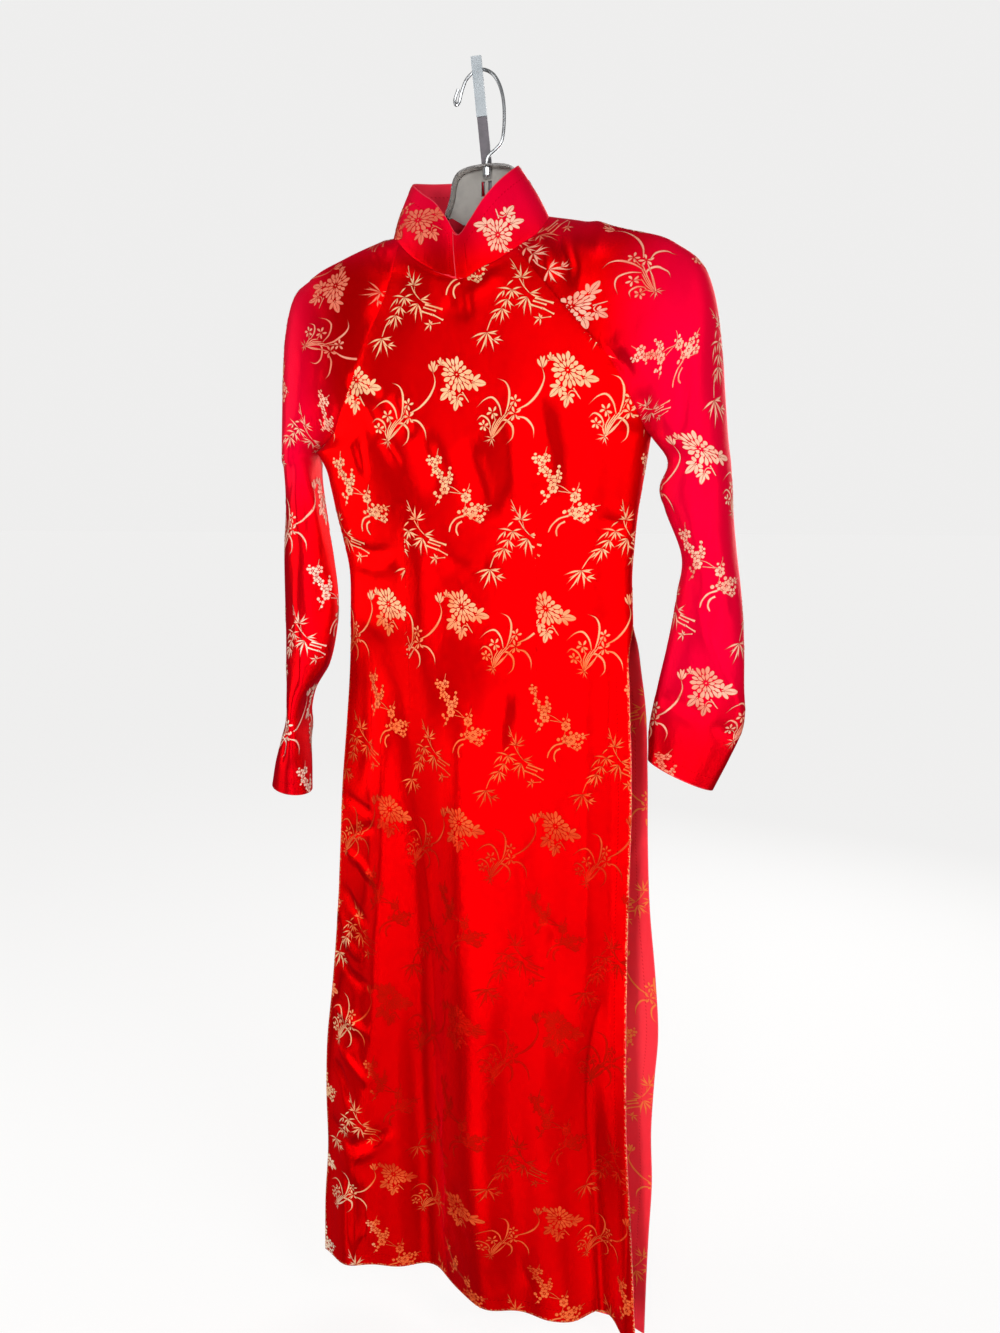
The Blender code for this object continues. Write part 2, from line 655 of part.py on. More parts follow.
def make_plate(path, material):
    """The flat plate under the rim, with two slots below the ferrule."""
    top = outward_offsets(path, -SEAT_GAP)
    bottom = [Vector((x, z)) for x, z in [(40, -143), (28, -150.5), (14, -155), (0, -156.5),
                                          (-14, -155), (-28, -150.5), (-40, -143)]]
    outline = top[1:-1] + bottom
    half = PLATE_THICKNESS / 2.0
    sections = [[Vector((spot.x, y, spot.y)) for spot in outline] for y in (-half, half)]
    plate = skin("hanger_plate", sections, material)
    for number, x in enumerate((-5.0, 2.6)):
        cutter = skin(f"slot_cutter_{number}", [
            [Vector((x + dx, y, z)) for dx, z in ((-2, -124), (2, -124), (2, -109), (-2, -109))]
            for y in (-4.0, 4.0)], material)
        cutter.hide_render = True
        cutter.display_type = "WIRE"
        cut = plate.modifiers.new("slot", "BOOLEAN")
        cut.operation = "DIFFERENCE"
        cut.object = cutter
    return plate


def make_ferrule(material):
    """The short round socket that takes the hook's shank."""
    sections = []
    for z, radius in ((FERRULE_BOTTOM, 3.4), (FERRULE_BOTTOM + 1.5, FERRULE_RADIUS),
                      (FERRULE_TOP - 1.0, FERRULE_RADIUS), (FERRULE_TOP, 3.6)):
        sections.append([Vector((0.5 + radius * math.cos(turn), SHANK_Y + radius * math.sin(turn),
                                 z))
                         for turn in (math.tau * side / FERRULE_SIDES for side in range(FERRULE_SIDES))])
    return skin("hanger_ferrule", sections, material)


def make_arm(name, point_at, side, material):
    """A round-topped arm that carries the sleeve along the shoulder."""
    shares = [0.34, 0.41, 0.48, 0.54, ARM_END_SHARE]
    drop = CLOTH_WALL + SEAT_GAP + ARM_LEAN_ROOM + ARM_HALF_HEIGHT
    ridge = [point_at(share, 0.5) for share in shares]
    line = [Vector((side * x, y, z)) for x, y, z in ARM_ROOT]
    for number, point in enumerate(ridge):
        before, after = ridge[max(number - 1, 0)], ridge[min(number + 1, len(ridge) - 1)]
        along = (after - before).normalized()
        up = Vector((-along.z, 0.0, along.x)) * side
        line.append(point - up.normalized() * drop + Vector((0.0, ARM_SET_BACK, 0.0)))
    sections = []
    for number, point in enumerate(line):
        before, after = line[max(number - 1, 0)], line[min(number + 1, len(line) - 1)]
        along = (after - before).normalized()
        up = Vector((-along.z, 0.0, along.x)).normalized() * side
        size = 0.8 if number in (0, len(line) - 1) else 1.0
        sections.append([
            point + up * (ARM_HALF_HEIGHT * size * math.sin(turn))
            + Vector((0.0, ARM_HALF_DEPTH * size * math.cos(turn), 0.0))
            for turn in (math.tau * corner / ARM_SIDES for corner in range(ARM_SIDES))])
    return skin(name, sections, material)


def bar_section(z, thickness):
    """A flat section of the bar, which leans right and back on its way down."""
    share = z / BAR_LOW
    x = mix(BAR_TOP_X, BAR_LOW_X, share)
    back_face = mix(-WIRE_RADIUS - SEAT_GAP, RIM_BACK + SEAT_GAP + BAR_THICKNESS, share)
    half = BAR_WIDTH / 2.0
    return [Vector((x - half, back_face, z)), Vector((x + half, back_face, z)),
            Vector((x + half, back_face - thickness, z)),
            Vector((x - half, back_face - thickness, z))]


def make_hanger(chrome, steel, plastic):
    hump = hump_path()
    make_wire("hanger_hook", hook_path(), chrome)
    make_rim(hump, chrome)
    make_plate(hump, steel)
    make_ferrule(chrome)
    make_arm("hanger_arm_left", left_sleeve_point, -1.0, steel)
    make_arm("hanger_arm_right", right_sleeve_point, 1.0, steel)
    skin("hanger_bar", [bar_section(z, BAR_THICKNESS)
                        for z in (BAR_BOTTOM, BAR_GRIP_END - SEAT_GAP)], steel)
    skin("hanger_bar_grip", [bar_section(z, GRIP_THICKNESS)
                             for z in (BAR_GRIP_END, BAR_TOP)], plastic)


def make_material(name, colour, roughness, metallic):
    material = bpy.data.materials.new(name)
    material.use_nodes = True
    shader = material.node_tree.nodes["Principled BSDF"]
    shader.inputs["Base Color"].default_value = colour
    shader.inputs["Roughness"].default_value = roughness
    shader.inputs["Metallic"].default_value = metallic
    return material


def main():
    for existing in list(bpy.data.objects):
        bpy.data.objects.remove(existing, do_unlink=True)
    make_dress(make_material("red_silk", *RED_SILK))
    make_hanger(make_material("chrome", *CHROME), make_material("grey_steel", *GREY_STEEL),
                make_material("pale_plastic", *PALE_PLASTIC))


main()
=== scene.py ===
"""The looks of a long-sleeved tunic dress in red and gold brocade, hung on a metal hanger.

Sizes are in millimetres until a mesh is made. In the tables x runs to the right from the hanger's
shank, y runs to the back and z runs up from the inside of the hook. The cut of a piece is flat:
its x runs along a row of the weave and its y runs down the cloth.
"""

import json
import logging
import math
from dataclasses import dataclass, field
from enum import Enum
from functools import partial
from typing import Callable, NamedTuple, Sequence

import bpy
import numpy as np
from bpy.types import ID, Material, Mesh, Node, NodeOutputs, NodeSocket, NodeTree, Object
from mathutils import Euler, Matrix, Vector
from mathutils.bvhtree import BVHTree
from mathutils.geometry import barycentric_transform

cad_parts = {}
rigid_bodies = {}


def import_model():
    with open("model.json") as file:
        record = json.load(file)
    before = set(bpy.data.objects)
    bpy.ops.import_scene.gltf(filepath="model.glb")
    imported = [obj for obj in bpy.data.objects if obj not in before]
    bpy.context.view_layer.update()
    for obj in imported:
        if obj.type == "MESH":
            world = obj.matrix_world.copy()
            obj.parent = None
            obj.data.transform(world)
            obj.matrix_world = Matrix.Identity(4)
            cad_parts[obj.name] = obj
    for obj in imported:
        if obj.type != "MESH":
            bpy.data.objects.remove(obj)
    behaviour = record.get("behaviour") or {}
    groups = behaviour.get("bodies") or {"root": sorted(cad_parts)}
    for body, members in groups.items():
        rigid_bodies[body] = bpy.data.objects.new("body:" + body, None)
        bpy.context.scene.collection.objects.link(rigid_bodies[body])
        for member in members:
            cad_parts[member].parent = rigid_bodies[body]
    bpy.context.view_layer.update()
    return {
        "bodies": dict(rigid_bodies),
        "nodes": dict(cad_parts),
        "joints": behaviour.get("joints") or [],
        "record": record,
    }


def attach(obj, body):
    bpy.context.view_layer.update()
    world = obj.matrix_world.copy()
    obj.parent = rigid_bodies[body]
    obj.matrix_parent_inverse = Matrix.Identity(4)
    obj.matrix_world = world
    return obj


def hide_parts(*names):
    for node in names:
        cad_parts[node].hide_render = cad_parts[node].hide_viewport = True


LOG = logging.getLogger("dress")

MM = 0.001
SHANK_X = 10.0
BODY = "root"
FAR = 60.0  # distances to an edge are kept up to this far

Pair = tuple[float, float]
Colour = tuple[float, float, float]


# ---- tables of the dress's form ----

class Neck(NamedTuple):
    """Heights of the collar's seam and of its top edge at one angle round the neck."""
    angle: float
    seam_z: float
    top_z: float


class Level(NamedTuple):
    """A panel's two side edges and its middle at one height."""
    z: float
    rise: float
    left_x: float
    left_y: float
    right_x: float
    right_y: float
    middle_y: float
    edge_power: float = 1.0
    squareness: float = 2.4


class Yoke(NamedTuple):
    """The panels' middles at one share of the raglan seam."""
    share: float
    front_y: float
    back_y: float


class Ring(NamedTuple):
    """One section of a sleeve: the body side, the outer side and how far it leans."""
    share: float
    inner_x: float
    inner_z: float
    outer_x: float
    outer_z: float
    middle_y: float
    half_depth: float
    lean_x: float
    lean_z: float


class Fold(NamedTuple):
    """A long soft fold: positive depth pushes the cloth outwards."""
    place: float
    drift: float
    width: float
    depth: float
    top_z: float
    full_z: float


class Crease(NamedTuple):
    """A short ridge, or a trough where the depth is negative, along a line of x and z."""
    path: tuple[Pair, ...]
    width: float
    depth: float
    power: float = 2.0  # 2 is soft, towards 1 is sharp
    fade: float = 0.3  # share of its length in which it dies away at each end


# ---- curves ----

def clamp(value: float, low: float = 0.0, high: float = 1.0) -> float:
    """Keep a number between two others."""
    return max(low, min(high, value))


def mix(start: float, end: float, share: float) -> float:
    """Go a share of the way from start to end."""
    return start + (end - start) * share


def ease(value: float) -> float:
    """Turn 0 to 1 into a smooth step."""
    value = clamp(value)
    return value * value * (3.0 - 2.0 * value)


def eased(values: np.ndarray) -> np.ndarray:
    """Turn numbers from 0 to 1 into smooth steps."""
    values = np.clip(values, 0.0, 1.0)
    return values * values * (3.0 - 2.0 * values)


def hermite(keys: Sequence[float], values: Sequence[float], place: float) -> float:
    """Follow a smooth curve through values.

    Args:
        keys: Rising places of the values.
        values: One number for each key.
        place: Where to read the curve.

    Returns:
        The curve's value at the place.
    """
    span = len(keys) - 2
    while span > 0 and place < keys[span]:
        span -= 1
    steps = [b - a for a, b in zip(keys, keys[1:])]
    secants = [(b - a) / step for a, b, step in zip(values, values[1:], steps)]

    def slope(index: int) -> float:
        """Give the curve's slope at one key.

        Args:
            index: The key's number.

        Returns:
            The slope.
        """
        if index == 0:
            return secants[0]
        if index == len(keys) - 1:
            return secants[-1]
        before, after = steps[index - 1], steps[index]
        return (secants[index - 1] * after + secants[index] * before) / (before + after)

    step = steps[span]
    u = clamp((place - keys[span]) / step)
    return (mix(values[span], values[span + 1], ease(u))
            + step * (slope(span) * u * (1 - u) ** 2 - slope(span + 1) * u * u * (1 - u)))


def sample(table: Sequence[NamedTuple], place: float) -> NamedTuple:
    """Read a table between its rows.

    Args:
        table: Rows whose first column rises or falls steadily.
        place: Where to read it, in units of the first column.

    Returns:
        A row for that place.
    """
    direction = 1.0 if table[-1][0] > table[0][0] else -1.0
    keys = [direction * row[0] for row in table]
    columns = list(zip(*table))
    values = [hermite(keys, column, direction * place) for column in columns[1:]]
    return type(table[0])(place, *values)


def spread(start: float, end: float, step: float) -> list[float]:
    """Give even places from start to end, about a step apart, with both ends."""
    count = max(1, round(abs(end - start) / step))
    return [mix(start, end, number / count) for number in range(count + 1)]


def to_metres(points: np.ndarray) -> np.ndarray:
    """Move points from the tables' millimetres to the model's metres."""
    return (points + np.array([SHANK_X, 0.0, 0.0])) * MM


def run_down(points: np.ndarray) -> np.ndarray:
    """Give the distance down every column of points from its first one."""
    return np.cumsum(np.linalg.norm(np.diff(points, axis=0, prepend=points[:1]), axis=-1), axis=0)


YOKE_SHARES = [0.0, 0.006, 0.013] + spread(0.03, 1.0, 0.0175)  # rows down the raglan seams


def add_object(name: str, data: ID) -> Object:
    """Put a mesh, a light or a camera into the scene.

    Args:
        name: The new object's name.
        data: What it holds.

    Returns:
        The new object.
    """
    made = bpy.data.objects.new(name, data)
    bpy.context.scene.collection.objects.link(made)
    return made


def add_values(mesh: Mesh, label: str, values: np.ndarray,
               domain: str = "POINT") -> None:
    """Give a mesh an attribute of numbers, or of vectors where the values have columns.

    Args:
        mesh: The mesh.
        label: The attribute's name.
        values: One value, or one row of three, for each point or corner.
        domain: Whether they belong to points or to corners.
    """
    vectors = values.ndim > 1
    attribute = mesh.attributes.new(label, "FLOAT_VECTOR" if vectors else "FLOAT", domain)
    attribute.data.foreach_set("vector" if vectors else "value", values.reshape(-1))


# ---- the dress's form ----

@dataclass(frozen=True)
class DressForm:
    """The outer surface of the dress, worked out from its sections."""
    neck_x: float = -18.5
    neck_y: float = -6.0
    neck_half_width: float = 86.0
    neck_half_depth: float = 41.0
    collar_top_x: float = -23.5
    collar_top_half_width: float = 58.0
    collar_top_half_depth: float = 37.0
    front_neck: Pair = (-56.0, 44.0)
    back_neck: Pair = (220.0, 140.0)
    slit_top: float = -575.0
    slit_fade: float = 120.0  # folds reach the side edges this far below the slits' tops
    side_seam_y: float = 2.0
    armhole_squareness: float = 4.5
    seam_roll: float = 60.0
    armhole_closing: float = 0.62
    neck_fade: float = 0.30
    front_hem: float = -1388.0
    back_hem: float = -1412.0
    neck_seam: tuple[Neck, ...] = (
        Neck(-90, -160, -106), Neck(-60, -169, -115), Neck(-38, -189, -127),
        Neck(-20, -204, -139), Neck(-8, -212, -154), Neck(4, -217, -171), Neck(16, -207, -158),
        Neck(30, -198, -138.5), Neck(45, -186, -123), Neck(65, -172, -109), Neck(90, -153, -98.5),
        Neck(135, -147, -97), Neck(180, -146, -98), Neck(225, -150, -100), Neck(270, -160, -106),
        Neck(300, -169, -115))
    yokes: tuple[Yoke, ...] = (Yoke(0.0, -47, 35), Yoke(0.3, -50, 39), Yoke(0.6, -52, 42),
                               Yoke(1.0, -50, 42))
    bodice: tuple[Level, ...] = (
        Level(-381, 11, -205, 2, 178, 2, -50, 0.5, 4.5),
        Level(-400, 9, -194.5, 2, 175, 2, -50, 0.5, 4.2),
        Level(-424, 6, -189, 2, 171, 2, -49, 0.5, 3.6),
        Level(-455, 3, -183, 2, 166, 2, -47, 0.5, 2.9),
        Level(-488, 1, -175, 2, 163, 2, -44, 0.5, 2.5),
        Level(-522, 0, -169, 2, 161, 2, -42, 0.5, 2.4),
        Level(-552, 0, -169, 2, 162, 2, -42, 0.52, 2.4))
    back_middles: tuple[float, ...] = (42, 41, 39, 36, 34, 34, 37)
    front_skirt: tuple[Level, ...] = (
        Level(-575, 0, -170, 2, 163, 2, -42, 0.55, 2.4),
        Level(-605, 0, -171, 1, 162.5, -14, -42, 0.7, 2.4),
        Level(-645, 0, -173, 0, 164.5, -20, -42, 0.9, 2.4),
        Level(-700, 0, -177, -2, 167, -20, -42),
        Level(-780, 0, -184, -4, 169, -20, -41),
        Level(-860, 0, -188, -6, 168, -20, -40),
        Level(-940, 0, -193, -7, 167.5, -20, -39),
        Level(-1030, 0, -201, -9, 168.5, -23, -38),
        Level(-1110, 0, -210, -10, 170, -26, -37),
        Level(-1180, 0, -212, -11, 173, -29, -37),
        Level(-1250, 0, -211, -12, 179, -35, -38),
        Level(-1320, 0, -215, -15, 185, -43, -39),
        Level(-1388, 0, -214, -21, 191, -56, -40))
    back_skirt: tuple[Level, ...] = (
        Level(-575, 0, -170, 2, 163, 2, 40, 0.55, 2.4),
        Level(-600, 0, -171, 18, 166, 19, 44, 0.7, 2.4),
        Level(-630, 0, -171, 30, 167.5, 36, 47, 0.9, 2.4),
        Level(-665, 0, -173, 37, 171, 45, 50),
        Level(-750, 0, -177, 41, 175, 50, 52),
        Level(-830, 0, -182, 43, 177, 50, 52),
        Level(-910, 0, -188, 44, 181, 50, 52),
        Level(-1000, 0, -194, 45, 190, 50, 52),
        Level(-1070, -2, -199, 46, 194.5, 50, 53),
        Level(-1125, -4, -202, 46, 191.5, 48, 53),
        Level(-1190, -8, -204, 46, 189.5, 46, 53),
        Level(-1250, -12, -205, 46, 192.5, 41, 53),
        Level(-1310, -17, -206, 45, 191.5, 30, 52),
        Level(-1360, -21, -206, 44, 192, 15, 50),
        Level(-1412, -26, -206, 42, 193, 2, 48))
    front_folds: tuple[Fold, ...] = (
        Fold(0.09, 0.02, 0.065, 17, -760, -1388), Fold(0.345, -0.02, 0.085, -24, -640, -1300),
        Fold(0.56, -0.01, 0.075, 16, -690, -1360), Fold(0.885, 0.0, 0.050, -30, -880, -1388),
        Fold(0.74, -0.02, 0.060, 7, -720, -1200), Fold(0.30, 0.0, 0.060, 4, -430, -520))
    back_folds: tuple[Fold, ...] = (
        Fold(0.16, 0.02, 0.070, 12, -700, -1300), Fold(0.36, 0.02, 0.080, -16, -660, -1340),
        Fold(0.60, 0.0, 0.080, 14, -700, -1380), Fold(0.82, -0.02, 0.065, -10, -800, -1300))
    left_sleeve: tuple[Ring, ...] = (
        Ring(0.00, -82, -161, -104.5, -160, -5, 30, -8, -11),
        Ring(0.20, -93.5, -204, -127, -164, -5, 36, -5.5, -11),
        Ring(0.40, -110, -249, -165, -177, -5, 40, -6, -9),
        Ring(0.60, -130, -295, -203, -194, -4, 43, -6, -7),
        Ring(0.80, -154, -341, -232, -228, -2, 44, -3, -5),
        Ring(0.92, -177, -369, -242, -290, 0, 44, 1, -4),
        Ring(1.00, -205, -386.5, -248, -384, 2, 44, 6, -3),
        Ring(1.08, -206.5, -402.5, -248.5, -401, 3, 44, 9, -2),
        Ring(1.30, -201.5, -448, -250, -448, 4, 43, 12, 0),
        Ring(1.54, -193.7, -497, -254.5, -495, 4, 41, 12, 0),
        Ring(1.90, -187.5, -569, -256.5, -569, 4, 37, 12, 0),
        Ring(2.06, -192, -601, -256.5, -600, 4, 38, 12, 0),
        Ring(2.22, -201, -632, -257, -632, 4, 40, 12, 0),
        Ring(2.40, -223, -668, -255.5, -668, 4, 44, 12, 0),
        Ring(2.55, -231, -699, -256, -697, 4, 45, 12, 0),
        Ring(2.70, -230.5, -728, -265, -724, 4, 43, 12, 0),
        Ring(2.85, -229, -758, -275, -753, 4, 40, 12, 0),
        Ring(3.00, -229, -790, -282, -784, 4, 37, 12, 0))
    right_sleeve: tuple[Ring, ...] = (
        Ring(0.00, 39, -167, 67.5, -153, -5, 30.5, 2, -20),
        Ring(0.20, 67, -207, 105, -159, -5, 36, 5.5, -17),
        Ring(0.40, 97, -249, 152, -170.5, -5, 40, 9, -13),
        Ring(0.60, 130, -293, 198, -186, -4, 43, 11, -8),
        Ring(0.80, 156, -336, 236, -228, -2, 44, 8, -5),
        Ring(0.92, 169, -361, 248, -290, 0, 43, 5, -3),
        Ring(1.00, 178, -376, 256, -372, 2, 41, 0, -2),
        Ring(1.10, 196, -402, 260, -402, 3, 39, 0, 0),
        Ring(1.20, 188, -428, 262.5, -426, 3, 37, 0, 0),
        Ring(1.32, 194, -451, 264, -450, 3, 37, 0, 0),
        Ring(1.54, 213, -502, 269.5, -498, 3, 39, 0, 0),
        Ring(1.72, 209, -539, 275, -536, 3, 35, 0, 0),
        Ring(1.98, 200, -594, 280, -590, 2, 28, 0, 0),
        Ring(2.20, 190.5, -640, 281.5, -636, 1, 22, 0, 0),
        Ring(2.45, 182, -690, 281, -684, 1, 18, 0, 0),
        Ring(2.58, 182, -708, 270, -712, 1, 18, 0, 0),
        Ring(2.72, 182, -721, 253, -750, 1, 21, 0, 0))

    def neck_heights(self, angle: float) -> Neck:
        """Read the neck table at an angle."""
        return sample(self.neck_seam,
                      (angle + 90.0) % 360.0 - 90.0 if angle < 300.0 else angle - 360.0)

    def oval(self, angles: Sequence[float], middle_x: float, half_width: float,
             half_depth: float, column: int) -> np.ndarray:
        """Give points of an oval round the neck.

        Args:
            angles: Where to place them, in degrees from the front.
            middle_x: The oval's middle.
            half_width: Half its width.
            half_depth: Half its depth.
            column: The neck table's column that gives the heights.

        Returns:
            One point for each angle.
        """
        turns = np.radians(angles)
        return np.stack([middle_x + half_width * np.sin(turns),
                         self.neck_y - half_depth * np.cos(turns),
                         [self.neck_heights(angle)[column] for angle in angles]], axis=-1)

    def neck_line(self, angles: Sequence[float]) -> np.ndarray:
        """Give points of the neck seam at some angles."""
        return self.oval(angles, self.neck_x, self.neck_half_width, self.neck_half_depth, 1)

    def collar_line(self, angles: Sequence[float]) -> np.ndarray:
        """Give points of the collar's top edge at some angles."""
        return self.oval(angles, self.collar_top_x, self.collar_top_half_width,
                         self.collar_top_half_depth, 2)

    def ring_line(self, table: Sequence[Ring], share: float, around: np.ndarray) -> np.ndarray:
        """Give points of one sleeve section.

        Args:
            table: The sleeve's sections.
            share: How far down the sleeve, 1 at the underarm.
            around: Places from the front seam (0) over the outside to the back (1).

        Returns:
            One point for each place.
        """
        ring = sample(table, share)
        closing = clamp((share - self.armhole_closing) / (1.0 - self.armhole_closing))
        open_half = math.acos(closing)
        turn = open_half + (2.0 * math.pi - 2.0 * open_half) * around
        inner = np.array([ring.inner_x, ring.middle_y, ring.inner_z])
        outer = np.array([ring.outer_x, ring.middle_y, ring.outer_z])
        across = (outer - inner) / (1.0 + closing)
        deep = np.array([ring.lean_x, -ring.half_depth, ring.lean_z])
        return (outer - across - np.cos(turn)[:, None] * across + np.sin(turn)[:, None] * deep)

    def sleeve_line(self, left: bool, share: float, around: np.ndarray) -> np.ndarray:
        """Give points of a sleeve, whose first rows take the shape of the neck seam.

        Args:
            left: True for the left sleeve.
            share: How far down the sleeve, 1 at the underarm.
            around: Places from the front seam (0) over the outside to the back (1).

        Returns:
            One point for each place.
        """
        table = self.left_sleeve if left else self.right_sleeve
        line = self.ring_line(table, share, around)
        fade = clamp(1.0 - share / self.neck_fade) ** 2
        if fade > 0.0:
            start, end = ((self.front_neck[0], self.back_neck[0] - 360.0) if left
                          else (self.front_neck[1], self.back_neck[1]))
            angles = [mix(start, end, place) for place in around]
            line = line + (self.neck_line(angles) - self.ring_line(table, 0.0, around)) * fade
        return line

    def crown(self, across: np.ndarray, edge_power: float, squareness: float) -> np.ndarray:
        """Give how far a section stands out between its edges, as a share of its middle."""
        return np.maximum(0.0, 1.0 - np.abs(2.0 * across - 1.0) ** squareness) ** edge_power

    def yoke_line(self, share: float, across: np.ndarray, front: bool) -> np.ndarray:
        """Give points of a panel between its raglan seams.

        Args:
            share: How far down the raglan seam.
            across: Places from the left (0) to the right (1).
            front: True for the front panel.

        Returns:
            One point for each place.
        """
        around = np.array([0.0 if front else 1.0])
        seams = self.bodice[0]
        width = seams.right_x - seams.left_x

        def row(at: float) -> np.ndarray:
            """Carry the underarm's section up the seam.

            Args:
                at: How far down the raglan seam.

            Returns:
                One point for each place across.
            """
            left = self.sleeve_line(True, at, around)[0]
            right = self.sleeve_line(False, at, around)[0]
            yoke = sample(self.yokes, at)
            rise = (yoke.front_y if front else yoke.back_y) - self.side_seam_y

            def section_y(x: np.ndarray) -> np.ndarray:
                """Give the section's y at some x."""
                place = np.clip((x - seams.left_x) / width, 0.0, 1.0)
                return self.side_seam_y + rise * self.crown(place, 0.5, self.armhole_squareness)

            points = left + (right - left) * across[:, None]
            y = section_y(points[:, 0])
            for end in (left, right):
                near = np.clip(1.0 - np.abs(points[:, 0] - end[0]) / self.seam_roll, 0.0, 1.0)
                y = y + (end[1] - section_y(end[:1])[0]) * near ** 2
            points[:, 1] = y
            return points

        points = row(share)
        fade = clamp(1.0 - share / self.neck_fade) ** 2
        if fade > 0.0:
            start, end = self.front_neck if front else self.back_neck
            angles = [mix(start, end, place) for place in across]
            points = points + (self.neck_line(angles) - row(0.0)) * fade
        return points

    def level_line(self, z: float, across: np.ndarray, front: bool) -> np.ndarray:
        """Give points of a panel below the underarm.

        Args:
            z: Their height.
            across: Places from the left (0) to the right (1).
            front: True for the front panel.

        Returns:
            One point for each place.
        """
        if front:
            levels, folds = self.bodice + self.front_skirt, self.front_folds
        else:
            bodice = tuple(row._replace(middle_y=middle)
                           for row, middle in zip(self.bodice, self.back_middles))
            levels, folds = bodice + self.back_skirt, self.back_folds
        level = sample(levels, z)
        push = np.zeros_like(across)
        for fold in folds:
            grown = ease((fold.top_z - z) / (fold.top_z - fold.full_z))
            place = fold.place + fold.drift * (1.0 - grown)
            push += fold.depth * grown * np.exp(-((across - place) / fold.width) ** 2)
        sewn = ease((z - self.slit_top) / self.slit_fade + 1.0)
        push *= 1.0 + (4.0 * across * (1.0 - across) - 1.0) * sewn
        edge_y = level.left_y + (level.right_y - level.left_y) * across
        average = (level.left_y + level.right_y) / 2.0
        y = (edge_y + (level.middle_y - average)
             * self.crown(across, level.edge_power, level.squareness)
             + (-1.0 if front else 1.0) * push)
        return np.stack([level.left_x + (level.right_x - level.left_x) * across, y,
                         z + level.rise * (across - 0.5)], axis=-1)


# ---- cut pieces ----

class Side(Enum):
    """Which side of the dress a crease lies on."""
    FRONT = -1.0
    BACK = 1.0


@dataclass
class Cut:
    """One cut piece as a grid of points, with its flat cut and the distances to its edges."""
    points: np.ndarray
    flat: np.ndarray  # as seen from each column's left
    take: np.ndarray  # how far a dart moves the cut on to the right of a column
    sewn: np.ndarray  # distance to the nearest seam
    free: np.ndarray  # distance to the nearest free edge
    hold: np.ndarray  # share of a crease that reaches each point
    square_on: np.ndarray  # share by which a crease is pushed straight to the front or back
    painted_sheen: np.ndarray = field(init=False)  # how far a painted crimson sheen covers the red
    normals: np.ndarray = field(init=False)
    painted_sheen_from: float = -210.0
    painted_sheen_rise: float = 80.0
    facing: float = 2.5  # how soon a crease is full where the cloth turns to its side

    def __post_init__(self) -> None:
        """Work out the normals, and paint a crimson sheen onto the cloth towards the shoulders."""
        self.find_normals()
        self.painted_sheen = eased((self.points[..., 2] - self.painted_sheen_from) / self.painted_sheen_rise)

    def paint_sheen_outwards(self, middle: float, start: float, width: float, drop: Pair,
                       left_over: float = 0.15) -> None:
        """Paint a crimson sheen onto the cloth away from the dress's middle line.

        Args:
            middle: The middle line's x.
            start: How far from it the painted sheen begins.
            width: How much further it is full.
            drop: The heights between which it fades again.
            left_over: The share of it that stays below them.
        """
        away = np.abs(self.points[..., 0] - middle)
        self.painted_sheen = np.maximum(self.painted_sheen, eased((away - start) / width))
        fading = eased((drop[0] - self.points[..., 2]) / (drop[0] - drop[1]))
        self.painted_sheen *= 1.0 - (1.0 - left_over) * fading

    def seen_from(self) -> tuple[np.ndarray, np.ndarray]:
        """Give the flat cut as seen from each column's left and from its right.

        Returns:
            Both grids of places.
        """
        right = self.flat.copy()
        right[..., 0] += self.take
        return self.flat, right

    def find_normals(self) -> None:
        """Work out the outward normal of every point."""
        down = np.gradient(self.points, axis=0)
        along = np.gradient(self.points, axis=1)
        normals = np.cross(down, along)
        self.normals = normals / np.maximum(np.linalg.norm(normals, axis=2, keepdims=True), 1e-9)

    def push(self, heights: np.ndarray) -> None:
        """Move every point out.

        Args:
            heights: How far, before the points' own hold.
        """
        straight = np.zeros_like(self.normals)
        straight[..., 1] = np.sign(self.normals[..., 1])
        way = self.normals + (straight - self.normals) * self.square_on[..., None]
        self.points = self.points + way * (heights * self.hold)[..., None]
        self.find_normals()

    def crease(self, creases: Sequence[Crease], side: Side) -> None:
        """Press creases into one side of the piece.

        Args:
            creases: The ridges and troughs.
            side: The side of the dress that they lie on.
        """
        facing = np.clip(self.normals[..., 1] * side.value * self.facing, 0.0, 1.0)
        x, z = self.points[..., 0], self.points[..., 2]
        total = np.zeros_like(x)
        for crease in creases:
            total += crease_height(crease, x, z)
        self.push(total * facing)

    def groove(self, depth: float, width: float) -> None:
        """Draw the cloth in along its seams.

        Args:
            depth: How deep the groove is.
            width: How wide each half of it is.
        """
        dip = -depth * np.exp(-(self.sewn / width) ** 2)
        self.points = self.points + self.normals * dip[..., None]
        self.find_normals()

    def area(self) -> float:
        """Measure the flat cut.

        Returns:
            Its area in square metres.
        """
        right = self.flat[:, 1:, 0]
        left = self.flat[:, :-1, 0] + self.take[:, :-1]
        widths = (right - left).sum(axis=1)
        drops = self.flat[:, :, 1].mean(axis=1)
        return float((0.5 * (widths[1:] + widths[:-1]) * np.diff(drops)).sum()) * MM * MM


